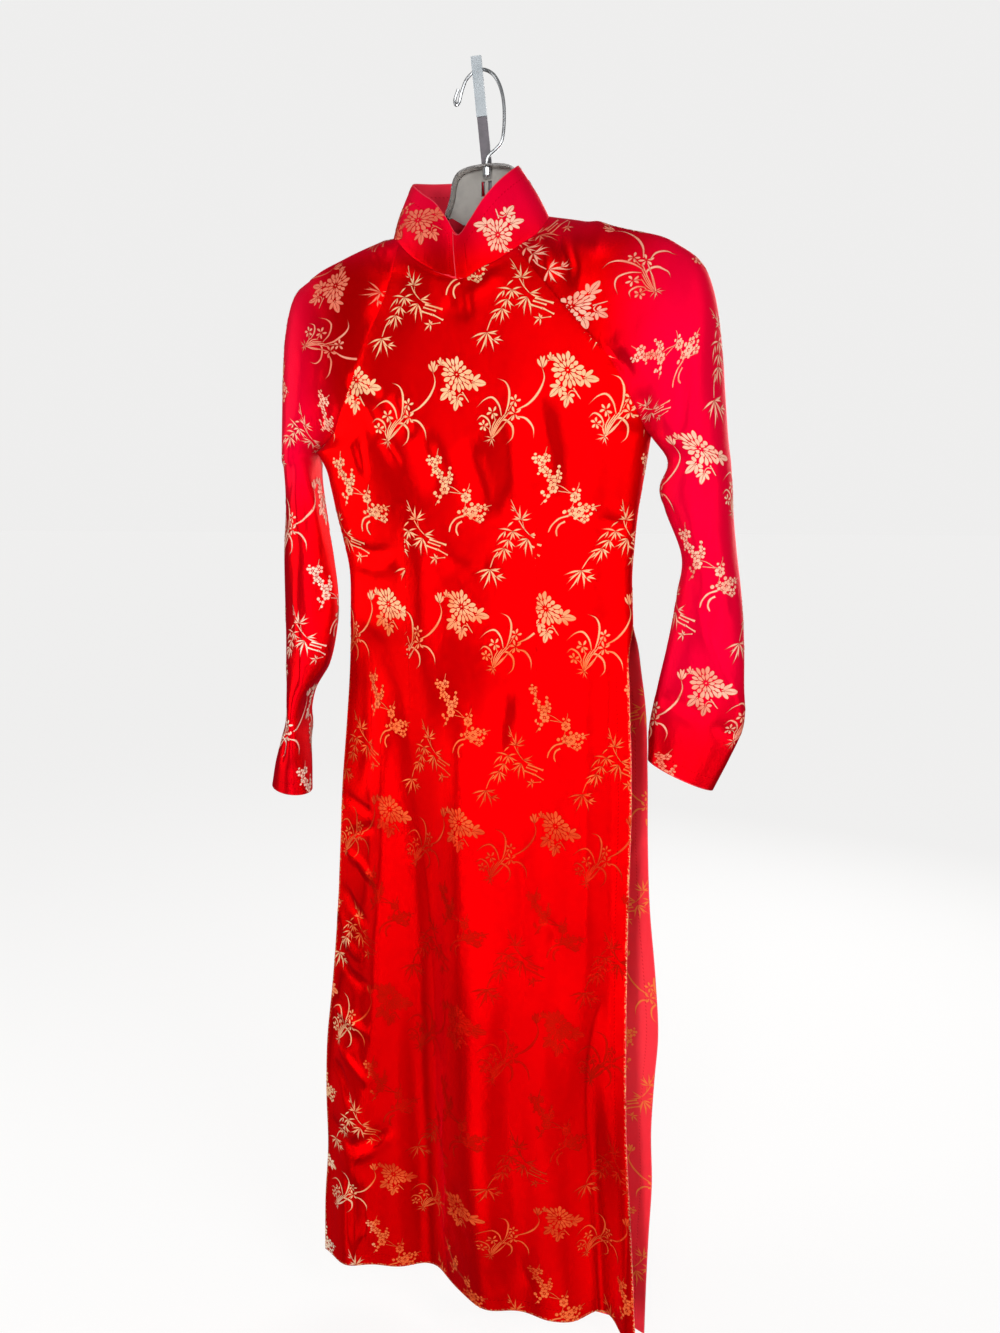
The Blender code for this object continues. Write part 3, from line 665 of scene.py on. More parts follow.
def crease_height(crease: Crease, x: np.ndarray, z: np.ndarray) -> np.ndarray:
    """Give one crease's height at many places.

    Args:
        crease: The crease.
        x: Places across.
        z: Heights.

    Returns:
        How far out the crease lies at each place.
    """
    nearest = np.full_like(x, 1e9)
    along = np.zeros_like(x)
    path = np.array(crease.path, dtype=float)
    lengths = np.linalg.norm(np.diff(path, axis=0), axis=1)
    travelled = 0.0
    for start, end, length in zip(path[:-1], path[1:], lengths):
        dx, dz = end - start
        share = np.clip(((x - start[0]) * dx + (z - start[1]) * dz) / length ** 2, 0.0, 1.0)
        away = np.hypot(x - start[0] - share * dx, z - start[1] - share * dz)
        closer = away < nearest
        nearest = np.where(closer, away, nearest)
        along = np.where(closer, travelled + share * length, along)
        travelled += length
    along /= travelled
    ends = eased(along / crease.fade) * eased((1.0 - along) / crease.fade)
    return crease.depth * ends * np.exp(-(nearest / crease.width) ** crease.power)


def order(places: np.ndarray, values: np.ndarray) -> tuple[np.ndarray, np.ndarray]:
    """Put places in rising order, with their values."""
    return (places, values) if places[-1] > places[0] else (places[::-1], values[::-1])


def arcs(points: np.ndarray) -> np.ndarray:
    """Give the distance along every row from its first point."""
    steps = np.linalg.norm(np.diff(points, axis=1), axis=2)
    return np.concatenate([np.zeros((len(points), 1)), np.cumsum(steps, axis=1)], axis=1)


def column_places(cell: float, width: float, knots: Sequence[float],
                  beside: Pair = (1.3, 2.8)) -> np.ndarray:
    """Spread columns between knots, with two close ones beside each end.

    Args:
        cell: The distance between columns.
        width: The piece's width.
        knots: Rising shares of the width that each get a column, ends included.
        beside: How far the close columns lie from each end.

    Returns:
        Shares of the width.
    """
    places: list[float] = []
    for start, end in zip(knots, knots[1:]):
        places += spread(start, end, cell / width)[:-1]
    places.append(knots[-1])
    places += [knots[0] + gap / width for gap in beside]
    places += [knots[-1] - gap / width for gap in beside]
    return np.array(sorted(places))


@dataclass
class Panel:
    """The front or the back, cut in one from the neck to the hem, with two waist darts."""
    form: DressForm
    name: str
    front: bool
    cell: float = 4.2
    # x of the left and right dart at some heights, and how much cloth they take up there
    dart_lines: tuple[tuple[float, float, float, float], ...] = (
        (-150, -62, 62, 0), (-381, -84, 66, 0), (-440, -84, 66, 0), (-540, -83, 65, 26),
        (-600, -84, 66, 20), (-680, -86, 68, 0), (-900, -90, 72, 0), (-1420, -104, 84, 0))
    # x of the grain line, and for some heights how much longer the cut is than the hung cloth,
    # to the left and to the right of it, because small folds take up the rest
    grain_x: float = -9.0
    slack: tuple[tuple[float, float, float], ...] = (
        (-150, 1.0, 1.0), (-480, 1.0, 1.0), (-560, 1.04, 1.0), (-745, 1.22, 1.12),
        (-830, 1.22, 1.12), (-960, 1.15, 1.08), (-1210, 1.06, 0.98), (-1420, 1.04, 0.98))
    # how far down the cut lies at some drops, because the lower end hangs aslant
    falls: tuple[Pair, ...] = ((0, 0), (741, 741), (961, 975), (1209, 1218), (1263, 1285),
                               (1346, 1392), (1450, 1500))
    # small creases leave the seams over these distances
    seam_hold: float = 14.0
    side_hold: float = 16.0
    raglan_band: float = 18.0
    underarm_band: float = 30.0
    hem_rows: Pair = (3.0, 1.3)  # heights of the last rows above the hem
    slant: float = 0.75  # distance to a raglan seam as a share of the way along a row
    dart_least: float = 0.5  # a dart is sewn where it takes up more than this
    dart_groove: Pair = (1.2, 0.35)  # factor and offset that make a dart finer than a seam

    def dart(self, z: float) -> tuple[float, float, float]:
        """Give the two darts' x at one height, and how much cloth each takes up there."""
        heights, *columns = zip(*self.dart_lines)
        return tuple(float(np.interp(-z, np.negative(heights), column)) for column in columns)

    def rows(self) -> tuple[list[np.ndarray], list[bool]]:
        """Lay the rows of points from the neck to the hem.

        Returns:
            The rows, and for each whether it runs between the raglan seams.
        """
        form = self.form
        hem = form.front_hem if self.front else form.back_hem
        seams = form.bodice[0]
        width = seams.right_x - seams.left_x
        left, right, _ = self.dart(seams.z)
        knots = (0.0, (left - seams.left_x) / width, (right - seams.left_x) / width, 1.0)
        even = column_places(self.cell, width, knots)

        def across(z: float, left_x: float, right_x: float) -> np.ndarray:
            """Lay the columns so that one follows each dart.

            Args:
                z: The row's height.
                left_x: The x of its left end.
                right_x: The x of its right end.

            Returns:
                Shares of its width.
            """
            dart_left, dart_right, _ = self.dart(z)
            span = right_x - left_x
            return np.interp(even, knots, (0.0, (dart_left - left_x) / span,
                                           (dart_right - left_x) / span, 1.0))

        lines = [form.yoke_line(share, even, self.front) for share in YOKE_SHARES]
        drops = spread(seams.z, hem, self.cell)[1:]
        drops = drops[:-1] + [hem + above for above in self.hem_rows] + [hem]
        for z in drops:
            ends = form.level_line(z, np.array([0.0, 1.0]), self.front)
            lines.append(form.level_line(z, across(z, ends[0, 0], ends[1, 0]), self.front))
        self.dart_columns = tuple(int(np.argmin(np.abs(even - knot))) for knot in knots[1:3])
        return lines, [True] * len(YOKE_SHARES) + [False] * len(drops)

    def cut(self) -> Cut:
        """Lay out the piece's grid, flat cut and distances.

        Returns:
            The cut piece.
        """
        lines, between = self.rows()
        points = np.array(lines)
        if not self.front:
            points = points[:, ::-1]
        drops = -points[..., 2]
        along = arcs(points)
        whole = along[:, -1:]
        in_yoke = np.array(between)[:, None]
        sides = np.minimum(along, whole - along)
        columns = self.dart_columns
        if not self.front:
            columns = tuple(points.shape[1] - 1 - column for column in columns[::-1])
        heights = points[:, :, 2].mean(axis=1)
        takes = np.array([self.dart(z)[2] for z in heights])
        take = np.zeros(along.shape)
        take[:, columns] += takes[:, None]
        moved = np.zeros(along.shape)
        moved[:, :columns[0] + 1] -= takes[:, None]
        moved[:, columns[1] + 1:] += takes[:, None]
        grain = np.array([[np.interp(self.grain_x, *order(row_x, row_along))]
                          for row_x, row_along in zip(points[..., 0], along)])
        longer = [np.interp(-heights, [-row[0] for row in self.slack],
                            [row[side] for row in self.slack])[:, None] for side in (1, 2)]
        if not self.front:
            longer.reverse()
        aside = along - grain
        aside = aside * np.where(aside < 0.0, longer[0], longer[1])
        falls = np.interp(drops, *zip(*self.falls))
        flat = np.stack([aside + moved, falls], axis=-1)
        slit = points[..., 2] > self.form.slit_top
        down = run_down(points)
        sewn = np.where(slit, sides, np.hypot(sides, self.form.slit_top - points[..., 2]))
        sewn = np.where(in_yoke, sides * self.slant, sewn)
        sewn = np.minimum(sewn, down)
        for column in columns:
            beside = np.abs(along - along[:, column:column + 1])
            beside = beside * self.dart_groove[0] + self.dart_groove[1]
            beside = np.where(takes[:, None] > self.dart_least, beside, FAR)
            sewn = np.minimum(sewn, beside)
        edge = np.where(slit, np.hypot(sides, points[..., 2] - self.form.slit_top), sides)
        free = np.minimum(edge, down[-1:] - down)
        near_raglan = np.clip(1.0 - sides / self.raglan_band, 0.0, 1.0)
        underarm = np.clip((self.form.bodice[0].z - points[..., 2]) / self.underarm_band, 0.0, 1.0)
        hold = np.where(in_yoke, eased(down / self.seam_hold),
                        np.maximum(eased(sides / self.side_hold + ~slit), 1.0 - underarm))
        return Cut(points, flat, take, np.minimum(sewn, FAR), np.minimum(free, FAR), hold,
                   near_raglan * np.where(in_yoke, 1.0, 1.0 - underarm))


@dataclass
class Sleeve:
    """A raglan sleeve, open between its raglan seams and a tube from the underarm down."""
    form: DressForm
    name: str
    left: bool
    cell: float = 4.6
    # how far the cut lies aside from the outer line at some drops
    drift: tuple[Pair, ...] = ((0, 0), (140, 0), (330, -59), (900, -59))
    # small creases leave the seams over these distances
    seam_hold: float = 14.0
    raglan_band: float = 18.0
    underarm_band: float = 0.15  # as a share of the sleeve's sections
    slant: float = 0.8  # distance to a raglan seam as a share of the way along a row
    # sizes that space the columns and rows, and the shares of the last rows above the hem
    girth: float = 250.0
    left_reach: float = 205.0
    right_reach: float = 218.0
    hem_rows: Pair = (0.014, 0.006)
    # where the painted crimson sheen of the sleeves starts and is full, and the heights where it
    # fades
    middle_x: float = -9.0
    painted_sheen_start: float = 135.0
    painted_sheen_width: float = 85.0
    left_fade: Pair = (-370.0, -480.0)
    right_fade: Pair = (-600.0, -720.0)

    def cut(self) -> Cut:
        """Lay out the piece's grid, flat cut and distances.

        Returns:
            The cut piece.
        """
        around = column_places(self.cell, self.girth, (0.0, 0.5, 1.0))
        last = (self.form.left_sleeve if self.left else self.form.right_sleeve)[-1].share
        reach = self.left_reach if self.left else self.right_reach
        tube = spread(1.0, last, self.cell / reach)[1:]
        tube = tube[:-1] + [last - above for above in self.hem_rows] + [last]
        shares = YOKE_SHARES + tube
        points = np.array([self.form.sleeve_line(self.left, share, around) for share in shares])
        if self.left:
            points = points[:, ::-1]
        along = arcs(points)
        top = int(np.argmin(np.abs(around - 0.5)))
        top = points.shape[1] - 1 - top if self.left else top
        quarter = int(np.argmin(np.abs(around - 0.25)))
        centres = points[:, points.shape[1] - 1 - quarter if self.left else quarter]
        drops = run_down(centres)
        flat_x = along - along[:, top:top + 1]
        aside = np.interp(drops, *zip(*self.drift))[:, None]
        flat_x = flat_x + (-aside if self.left else aside)
        flat = np.stack([flat_x, np.repeat(drops[:, None], points.shape[1], axis=1)], axis=-1)
        in_yoke = (np.array(shares) <= 1.0)[:, None]
        sides = np.minimum(along, along[:, -1:] - along)
        down = run_down(points)
        sewn = np.minimum(np.where(in_yoke, sides * self.slant, sides), down)
        band = self.underarm_band
        below = np.clip(np.array(shares) - 1.0, 0.0, band)[:, None] / band
        hold = np.where(in_yoke, eased(down / self.seam_hold),
                        np.maximum(eased(sides / self.seam_hold), 1.0 - below))
        near = np.clip(1.0 - sides / self.raglan_band, 0.0, 1.0) * (1.0 - below)
        cut = Cut(points, flat, np.zeros(along.shape), np.minimum(sewn, FAR),
                  np.minimum(down[-1:] - down, FAR), hold, near)
        cut.paint_sheen_outwards(self.middle_x, self.painted_sheen_start, self.painted_sheen_width,
                           self.left_fade if self.left else self.right_fade)
        return cut


@dataclass
class Collar:
    """The stand collar, whose right end laps over its left end at the centre front."""
    form: DressForm
    name: str = "collar"
    opening: float = 4.0
    lap: float = 5.0
    lap_out: float = 1.3
    cell: float = 3.6
    bulge: float = 1.7
    seam_hold: float = 8.0
    # the lapping end's drops below the band's top, and the degrees over which they are lost
    lap_drops: tuple[float, float, float] = (-2.5, -1.0, 0.0)
    drop_fade: float = 20.0
    out_fade: float = 22.0
    # sizes that space the columns and rows, with close rows at the top and by the seam
    girth: float = 400.0
    height: float = 52.0
    top_rows: tuple[float, ...] = (1.0, 0.975, 0.945, 0.9)
    seam_row: float = 0.02

    def cut(self) -> Cut:
        """Lay out the band's grid, flat cut and distances.

        Returns:
            The cut piece.
        """
        start, end = self.opening - self.lap, self.opening + 360.0
        around = mix(start, end, column_places(self.cell, self.girth, (0.0, 0.5, 1.0)))
        low = self.form.neck_line([angle % 360.0 for angle in around])
        high = self.form.collar_line([angle % 360.0 for angle in around])
        past = around - start
        high[:, 2] += np.interp(past, [0.0, self.lap, self.lap + self.drop_fade], self.lap_drops)
        out = np.interp(past, [0.0, self.lap + self.out_fade], [self.lap_out, 0.0])
        *top, start_row = self.top_rows
        heights = top + spread(start_row, 0.0, self.cell / self.height)[:-1] + [self.seam_row, 0.0]
        turns = np.radians(around)
        outward = np.stack([np.sin(turns), -np.cos(turns), np.zeros_like(turns)], axis=-1)
        points = np.array([
            low + (high - low) * height
            + outward * (self.bulge * math.sin(math.pi * height) + out)[:, None]
            for height in heights])
        along = arcs(points)
        down = run_down(points)
        middle = points.shape[1] // 2
        flat = np.stack([along - along[:, middle:middle + 1], down], axis=-1)
        sides = np.minimum(along, along[:, -1:] - along)
        sewn = down[-1:] - down
        free = np.minimum(sides, down)
        return Cut(points, flat, np.zeros(along.shape), np.minimum(sewn, FAR),
                   np.minimum(free, FAR), eased(sewn / self.seam_hold), np.zeros(along.shape))


@dataclass
class Shell:
    """A thin closed shell of cloth made from one cut piece."""
    name: str
    cut: Cut
    wall: float
    map_room: float = 4.0  # flat millimetres left free round the piece in its bake map
    sharp: float = 60.0  # edges that turn by more than this many degrees stay sharp
    strip: float = 1.5  # width of the cloth's edge in the bake map, in walls

    def __post_init__(self) -> None:
        """Fit the bake map round the flat cut."""
        flat = self.cut.flat.reshape(-1, 2)
        self.low = flat.min(axis=0) - self.map_room
        self.size = flat.max(axis=0) + self.map_room - self.low

    def in_map(self, flat: np.ndarray, inner: bool) -> np.ndarray:
        """Turn flat places into the map's, whose left half is the right side of the cloth."""
        share = (flat - self.low) / self.size
        return np.stack([share[..., 0] * 0.5 + 0.5 * inner, 1.0 - share[..., 1]], axis=-1)

    def build(self, right_side: Material, wrong_side: Material) -> Object:
        """Make the shell's mesh.

        Args:
            right_side: The finish of the outer face and the edges.
            wrong_side: The finish of the inner face.

        Returns:
            The new object.
        """
        cut = self.cut
        rows, columns = cut.points.shape[:2]
        count = rows * columns
        index = np.arange(count).reshape(rows, columns).tolist()
        left, right = cut.seen_from()
        faces, flats, inside = [], [], []

        def face(corners: tuple[int, ...], places: list[np.ndarray], is_inner: bool = False,
                 flip: bool = False) -> None:
            """Add one face.

            Args:
                corners: Its points.
                places: Their flat places.
                is_inner: True on the wrong side of the cloth.
                flip: True to turn the face over.
            """
            faces.append(corners[::-1] if flip else corners)
            flats.append(places[::-1] if flip else places)
            inside.append(is_inner)

        def edge(first: int, second: int, first_place: np.ndarray, second_place: np.ndarray,
                 out: np.ndarray, flip: bool) -> None:
            """Join the two sides of the cloth along one step of its edge."""
            face((first, second, second + count, first + count),
                 [first_place, second_place, second_place + out, first_place + out], False, flip)

        for r in range(rows - 1):
            for c in range(columns - 1):
                a, b, d, e = index[r][c], index[r + 1][c], index[r + 1][c + 1], index[r][c + 1]
                places = [right[r, c], right[r + 1, c], left[r + 1, c + 1], left[r, c + 1]]
                face((a, b, d, e), places)
                face((a + count, e + count, d + count, b + count),
                     [places[0], places[3], places[2], places[1]], True)
        away = self.wall * self.strip
        for r in range(rows - 1):
            for c, flat, way in ((0, right, -1.0), (columns - 1, left, 1.0)):
                edge(index[r + 1][c], index[r][c], flat[r + 1, c], flat[r, c],
                     np.array([way * away, 0.0]), way > 0)
        for c in range(columns - 1):
            for r, way in ((0, -1.0), (rows - 1, 1.0)):
                edge(index[r][c], index[r][c + 1], right[r, c], left[r, c + 1],
                     np.array([0.0, way * away]), way > 0)
        mesh = bpy.data.meshes.new(self.name)
        inner = cut.points - cut.normals * self.wall
        vertices = np.concatenate([cut.points.reshape(-1, 3), inner.reshape(-1, 3)])
        mesh.from_pydata(to_metres(vertices).tolist(), [], faces)
        flat, is_inner = np.array(flats), np.array(inside)
        uv = np.where(is_inner[:, None, None], self.in_map(flat, True), self.in_map(flat, False))
        mesh.uv_layers.new(name="OFBake").data.foreach_set("uv", uv.reshape(-1))
        add_values(mesh, "flat_mm", np.pad(flat, ((0, 0), (0, 0), (0, 1))), "CORNER")
        for label, values in (("sewn_mm", cut.sewn), ("free_mm", cut.free), ("painted_sheen", cut.painted_sheen)):
            add_values(mesh, label, np.tile(values.reshape(-1), 2))
        mesh.materials.append(right_side)
        mesh.materials.append(wrong_side)
        mesh.polygons.foreach_set("material_index", is_inner.astype(int))
        mesh.shade_smooth()
        mesh.set_sharp_from_angle(angle=math.radians(self.sharp))
        return add_object(self.name, mesh)


# ---- woven sprigs ----

class Motif(Enum):
    """The four sprigs of the weave."""
    BAMBOO = "bamboo"
    CHRYSANTHEMUM = "chrysanthemum"
    ORCHID = "orchid"
    PLUM = "plum"


class Stroke(NamedTuple):
    """A woven shape: a line through the flat with a half width at each of its points."""
    spine: tuple[Pair, ...]
    widths: tuple[float, ...]


LEAF = (0.12, 0.46, 0.8, 0.9, 0.74, 0.48, 0.22, 0.02)
PETAL = (0.12, 0.36, 0.66, 0.9, 1.0, 0.94, 0.66, 0.04)
LOBE = (0.4, 0.8, 1.0, 0.96, 0.94, 0.8, 0.4)
BLADE = (0.42, 0.6, 0.76, 0.9, 1.0, 1.0, 0.92, 0.8, 0.64, 0.45, 0.24, 0.03)
TWIG = (1.0, 0.82, 1.0, 0.78, 0.9, 0.55)
CANE = (1.15, 0.8, 0.76, 0.8, 1.1)
DISC = (0.34, 0.8, 0.98, 0.98, 0.8, 0.34)
BOWS = (-0.06, 0.05)  # by how much of its length every other leaf bows


def towards(base: Pair, angle: float, length: float) -> Pair:
    """Give the point a length away from a base, at an angle in degrees."""
    return (base[0] + length * math.cos(math.radians(angle)),
            base[1] + length * math.sin(math.radians(angle)))


def straight(start: Pair, end: Pair, half_width: float, profile: Sequence[float]) -> Stroke:
    """Make a straight stroke.

    Args:
        start: Where it starts.
        end: Where it ends.
        half_width: Half its greatest width.
        profile: Shares of that width along it.

    Returns:
        The stroke.
    """
    steps = len(profile) - 1
    spine = tuple((mix(start[0], end[0], n / steps), mix(start[1], end[1], n / steps))
                  for n in range(steps + 1))
    return Stroke(spine, tuple(half_width * share for share in profile))


def curved(corners: Sequence[Pair], half_width: float,
           profile: Sequence[float] = BLADE) -> Stroke:
    """Make a stroke along a smooth curve through its corners.

    Args:
        corners: Points that the curve passes through.
        half_width: Half its greatest width.
        profile: Shares of that width along the curve.

    Returns:
        The stroke.
    """
    keys = list(range(len(corners)))
    steps = max(len(profile) - 1, 4 * (len(corners) - 1))
    xs, ys = zip(*corners)
    places = [n / steps for n in range(steps + 1)]
    spine = tuple((hermite(keys, xs, place * keys[-1]), hermite(keys, ys, place * keys[-1]))
                  for place in places)
    knots = np.linspace(0.0, 1.0, len(profile))
    widths = np.interp(places, knots, profile) * half_width
    return Stroke(spine, tuple(float(width) for width in widths))


def leaves(base: Pair, reaches: Sequence[Pair], half_width: float,
           profile: Sequence[float] = LEAF, start: float = 0.0) -> list[Stroke]:
    """Make leaves that spread from one point, each slightly bowed.

    Args:
        base: Where they meet.
        reaches: Each leaf's angle and length.
        half_width: Half the width of a leaf.
        profile: Shares of that width along the leaf.
        start: How far from the base they begin.

    Returns:
        The strokes.
    """
    strokes = []
    for number, (angle, length) in enumerate(reaches):
        middle = towards(towards(base, angle, mix(start, length, 0.5)), angle + 90.0,
                         length * BOWS[number % 2])
        strokes.append(curved([towards(base, angle, start), middle,
                               towards(base, angle, length)], half_width, profile))
    return strokes


def turned(stroke: Stroke, angle: float) -> Stroke:
    """Turn a stroke about its sprig's middle.

    Args:
        stroke: The stroke.
        angle: Degrees against the clock.

    Returns:
        The turned stroke.
    """
    cos, sin = math.cos(math.radians(angle)), math.sin(math.radians(angle))
    return stroke._replace(spine=tuple((x * cos - y * sin, x * sin + y * cos)
                                       for x, y in stroke.spine))


def disc(centre: Pair, radius: float) -> Stroke:
    """Make a small round dot."""
    reach = radius * 0.94
    return straight((centre[0] - reach, centre[1]), (centre[0] + reach, centre[1]), radius, DISC)


def lobed_leaf(base: Pair, angle: float, size: float) -> list[Stroke]:
    """Make a broad leaf of rounded lobes with thin gaps for its veins.

    Args:
        base: Where its stalk starts.
        angle: The way it points, in degrees.
        size: Its length.

    Returns:
        The strokes.
    """
    strokes = [straight(base, towards(base, angle, size * 0.3), size * 0.05, TWIG)]
    for way in (-1.0, 1.0):
        start = towards(towards(base, angle, size * 0.2), angle + 90.0, way * size * 0.07)
        belly = towards(towards(base, angle, size * 0.6), angle + 90.0, way * size * 0.12)
        tip = towards(towards(base, angle, size), angle + 90.0, way * size * 0.02)
        strokes.append(curved([start, belly, tip], size * 0.12, LOBE))
        for turn, reach, half_width in ((46.0, 0.74, 0.145), (98.0, 0.52, 0.145)):
            strokes.append(straight(towards(base, angle + way * turn * 1.1, size * 0.12),
                                    towards(base, angle + way * turn, size * reach),
                                    size * half_width, LOBE))
    return strokes


def blossom(centre: Pair, size: float, turn: float, petals: int = 5) -> list[Stroke]:
    """Make a small flower of round petals with a dot at its heart.

    Args:
        centre: Its middle.
        size: Its radius.
        turn: The angle of its first petal, in degrees.
        petals: How many petals it has.

    Returns:
        The strokes.
    """
    strokes = [disc(centre, size * 0.16)]
    for number in range(petals):
        angle = turn + 360.0 * number / petals
        strokes.append(disc(towards(centre, angle, size * 0.64), size * 0.37))
    return strokes


def bamboo() -> list[Stroke]:
    """Draw leafy bamboo with cut canes.

    Returns:
        The strokes.
    """
    strokes = [curved([(5, 30), (1, 38), (-4, 50)], 0.65, TWIG)]
    strokes += leaves((0, 38), ((128, 8), (158, 6)), 0.8)
    strokes += leaves((6, 29), ((178, 10), (148, 9), (120, 11), (91, 16), (57, 14), (30, 14),
                                (6, 12)), 1.15)
    strokes.append(curved([(4, 28), (9, 20), (15, 13)], 0.75, TWIG))
    strokes.append(curved([(8, 27), (8.5, 23), (10, 19)], 0.5, TWIG))
    strokes += leaves((15, 13), ((25, 14), (-6, 12), (-20, 15)), 1.1)
    for start, end, width in (((21, 8), (40, 2), 1.25), ((19, 5), (33, 0.5), 1.05),
                              ((17, 1), (29, -3), 1.15), ((29.5, -3), (41, -9), 1.05),
                              ((38, -11.5), (28, -12.5), 0.75)):
        strokes.append(straight(start, end, width, CANE))
    strokes += leaves((27, -12.5), ((110, 6), (166, 8), (226, 10), (268, 8), (62, 4)), 1.15)
    strokes += leaves((13, 9), ((192, 12), (211, 17), (229, 15), (246, 13), (262, 20),
                                (283, 20), (300, 13)), 1.25)
    strokes += leaves((-3, 17), ((172, 17), (12, 11), (336, 14), (310, 13), (284, 10),
                                 (250, 13), (226, 11)), 1.2)
    strokes += leaves((-2, 27), ((222, 10), ), 1.2)
    strokes += leaves((-11, 17), ((228, 16), (250, 8)), 1.15)
    strokes += leaves((-8, 8), ((204, 15), (232, 12), (262, 11), (290, 13), (316, 12)), 1.2)
    strokes += leaves((-13, -1), ((199, 15), (221, 18), (241, 15), (262, 17), (281, 14),
                                  (305, 14), (334, 11)), 1.2)
    strokes.append(curved([(-20, -5), (-25, -12), (-29, -22)], 0.85, TWIG))
    strokes += leaves((-29, -24), ((8, 13), (346, 12), (196, 19), (214, 15), (230, 19),
                                   (249, 24), (268, 16), (291, 22), (312, 13)), 1.35)
    strokes += leaves((-22, -31), ((22, 9), (348, 12), (322, 9)), 1.15)
    return strokes


def chrysanthemum() -> list[Stroke]:
    """Draw an open chrysanthemum with leaves and two buds.

    Returns:
        The strokes.
    """
    middle = (-5.0, 6.5)
    tilt = math.radians(-52.0)
    length, breadth = 21.0, 15.0

    def head_point(angle: float, reach: float) -> Pair:
        """Place a point of the slanting oval head.

        Args:
            angle: Its angle round the middle, in degrees.
            reach: Its distance from the middle, where 1 is the tips of the petals.

        Returns:
            The point.
        """
        along = length * reach * math.cos(math.radians(angle))
        across = breadth * reach * math.sin(math.radians(angle))
        return (middle[0] + along * math.cos(tilt) - across * math.sin(tilt),
                middle[1] + along * math.sin(tilt) + across * math.cos(tilt))

    strokes = []
    for count, start, end, turn in ((17, 0.44, 1.04, 4.0), (10, 0.16, 0.6, 19.0)):
        step = 360.0 / count
        for number in range(count):
            angle = turn + step * number
            reach = end * (0.93 + 0.1 * math.cos(4.1 * number))  # no two petals are alike
            room = math.dist(head_point(angle - step / 2, mix(start, reach, 0.66)),
                             head_point(angle + step / 2, mix(start, reach, 0.66)))
            strokes.append(straight(head_point(angle + 3.0, start), head_point(angle, reach),
                                    room * 0.42, PETAL))
    strokes.append(disc(middle, 1.0))
    strokes += lobed_leaf((11.5, -1.5), -10, 15.5)
    strokes += lobed_leaf((-12.5, -9), 222, 14.5)
    strokes += lobed_leaf((-4.5, -18), 256, 12.5)
    strokes.append(curved([(1, -11.5), (4, -16), (8, -22)], 0.9, TWIG))
    strokes.append(curved([(3, -14.5), (-2, -14), (-5, -18)], 0.7, TWIG))
    strokes.append(curved([(-18, 16), (-23, 17), (-28, 15)], 0.65, TWIG))
    strokes += leaves((-31, 9), ((62, 10), (80, 13), (100, 13), (118, 11)), 1.6, PETAL, 0.5)
    strokes += leaves((-22.5, 16), ((66, 7), (92, 9), (120, 7)), 1.5, PETAL, 0.4)
    return strokes


def orchid() -> list[Stroke]:
    """Draw an orchid clump with arching blades and small flowers.

    Returns:
        The strokes.
    """
    root = (-22.0, -30.0)
    strokes = leaves(root, ((168, 9), (198, 11), (222, 8), (250, 9), (284, 10), (312, 6)), 0.7)
    for end, bow in (((-17, -11), 1.5), ((-12, -9), 1.2), ((-7, -6), 0.9), ((-2, -4), 0.6),
                     ((1, -8), -0.6), ((-5, -13), -1.4), ((-23, -17), 1.8)):
        middle = (mix(root[0], end[0], 0.45) - bow, mix(root[1], end[1], 0.5) + bow)
        strokes.append(curved([root, middle, end], 0.85, TWIG))
    for corners, width in (
            ([(-8, -9), (-4, 4), (-3, 17), (-7, 26), (-16, 30)], 1.3),
            ([(-11, -8), (-14, 3), (-21, 11), (-30, 9), (-39, 1)], 1.2),
            ([(-23, -19), (-26, -11), (-33, -7), (-39, -12)], 1.15),
            ([(5, -2), (17, 4), (28, 15), (34, 29), (30, 43)], 1.35),
            ([(5, -9), (14, -11), (21, -20), (22, -31)], 1.25),
            ([(-15, -15), (-7, -12), (1, -19), (1, -30), (-6, -37)], 1.35)):
        strokes.append(curved(corners, width))
    for centre, size, turn in (((-31, -17), 6.0, 20), ((-21, -4), 7.0, 60), ((3, 7), 6.5, 10),
                               ((3, -6), 8.0, 40)):
        strokes += leaves(centre, [(turn + step * 68, size) for step in range(5)], 1.45,
                          PETAL, 0.9)
    strokes.append(curved([(-24, -22), (-27, -19), (-30, -18)], 0.55, TWIG))
    strokes.append(curved([(-18, -12), (-19, -8), (-20, -5)], 0.55, TWIG))
    strokes.append(curved([(-4, -3), (-1, 2), (2, 6)], 0.55, TWIG))
    return strokes


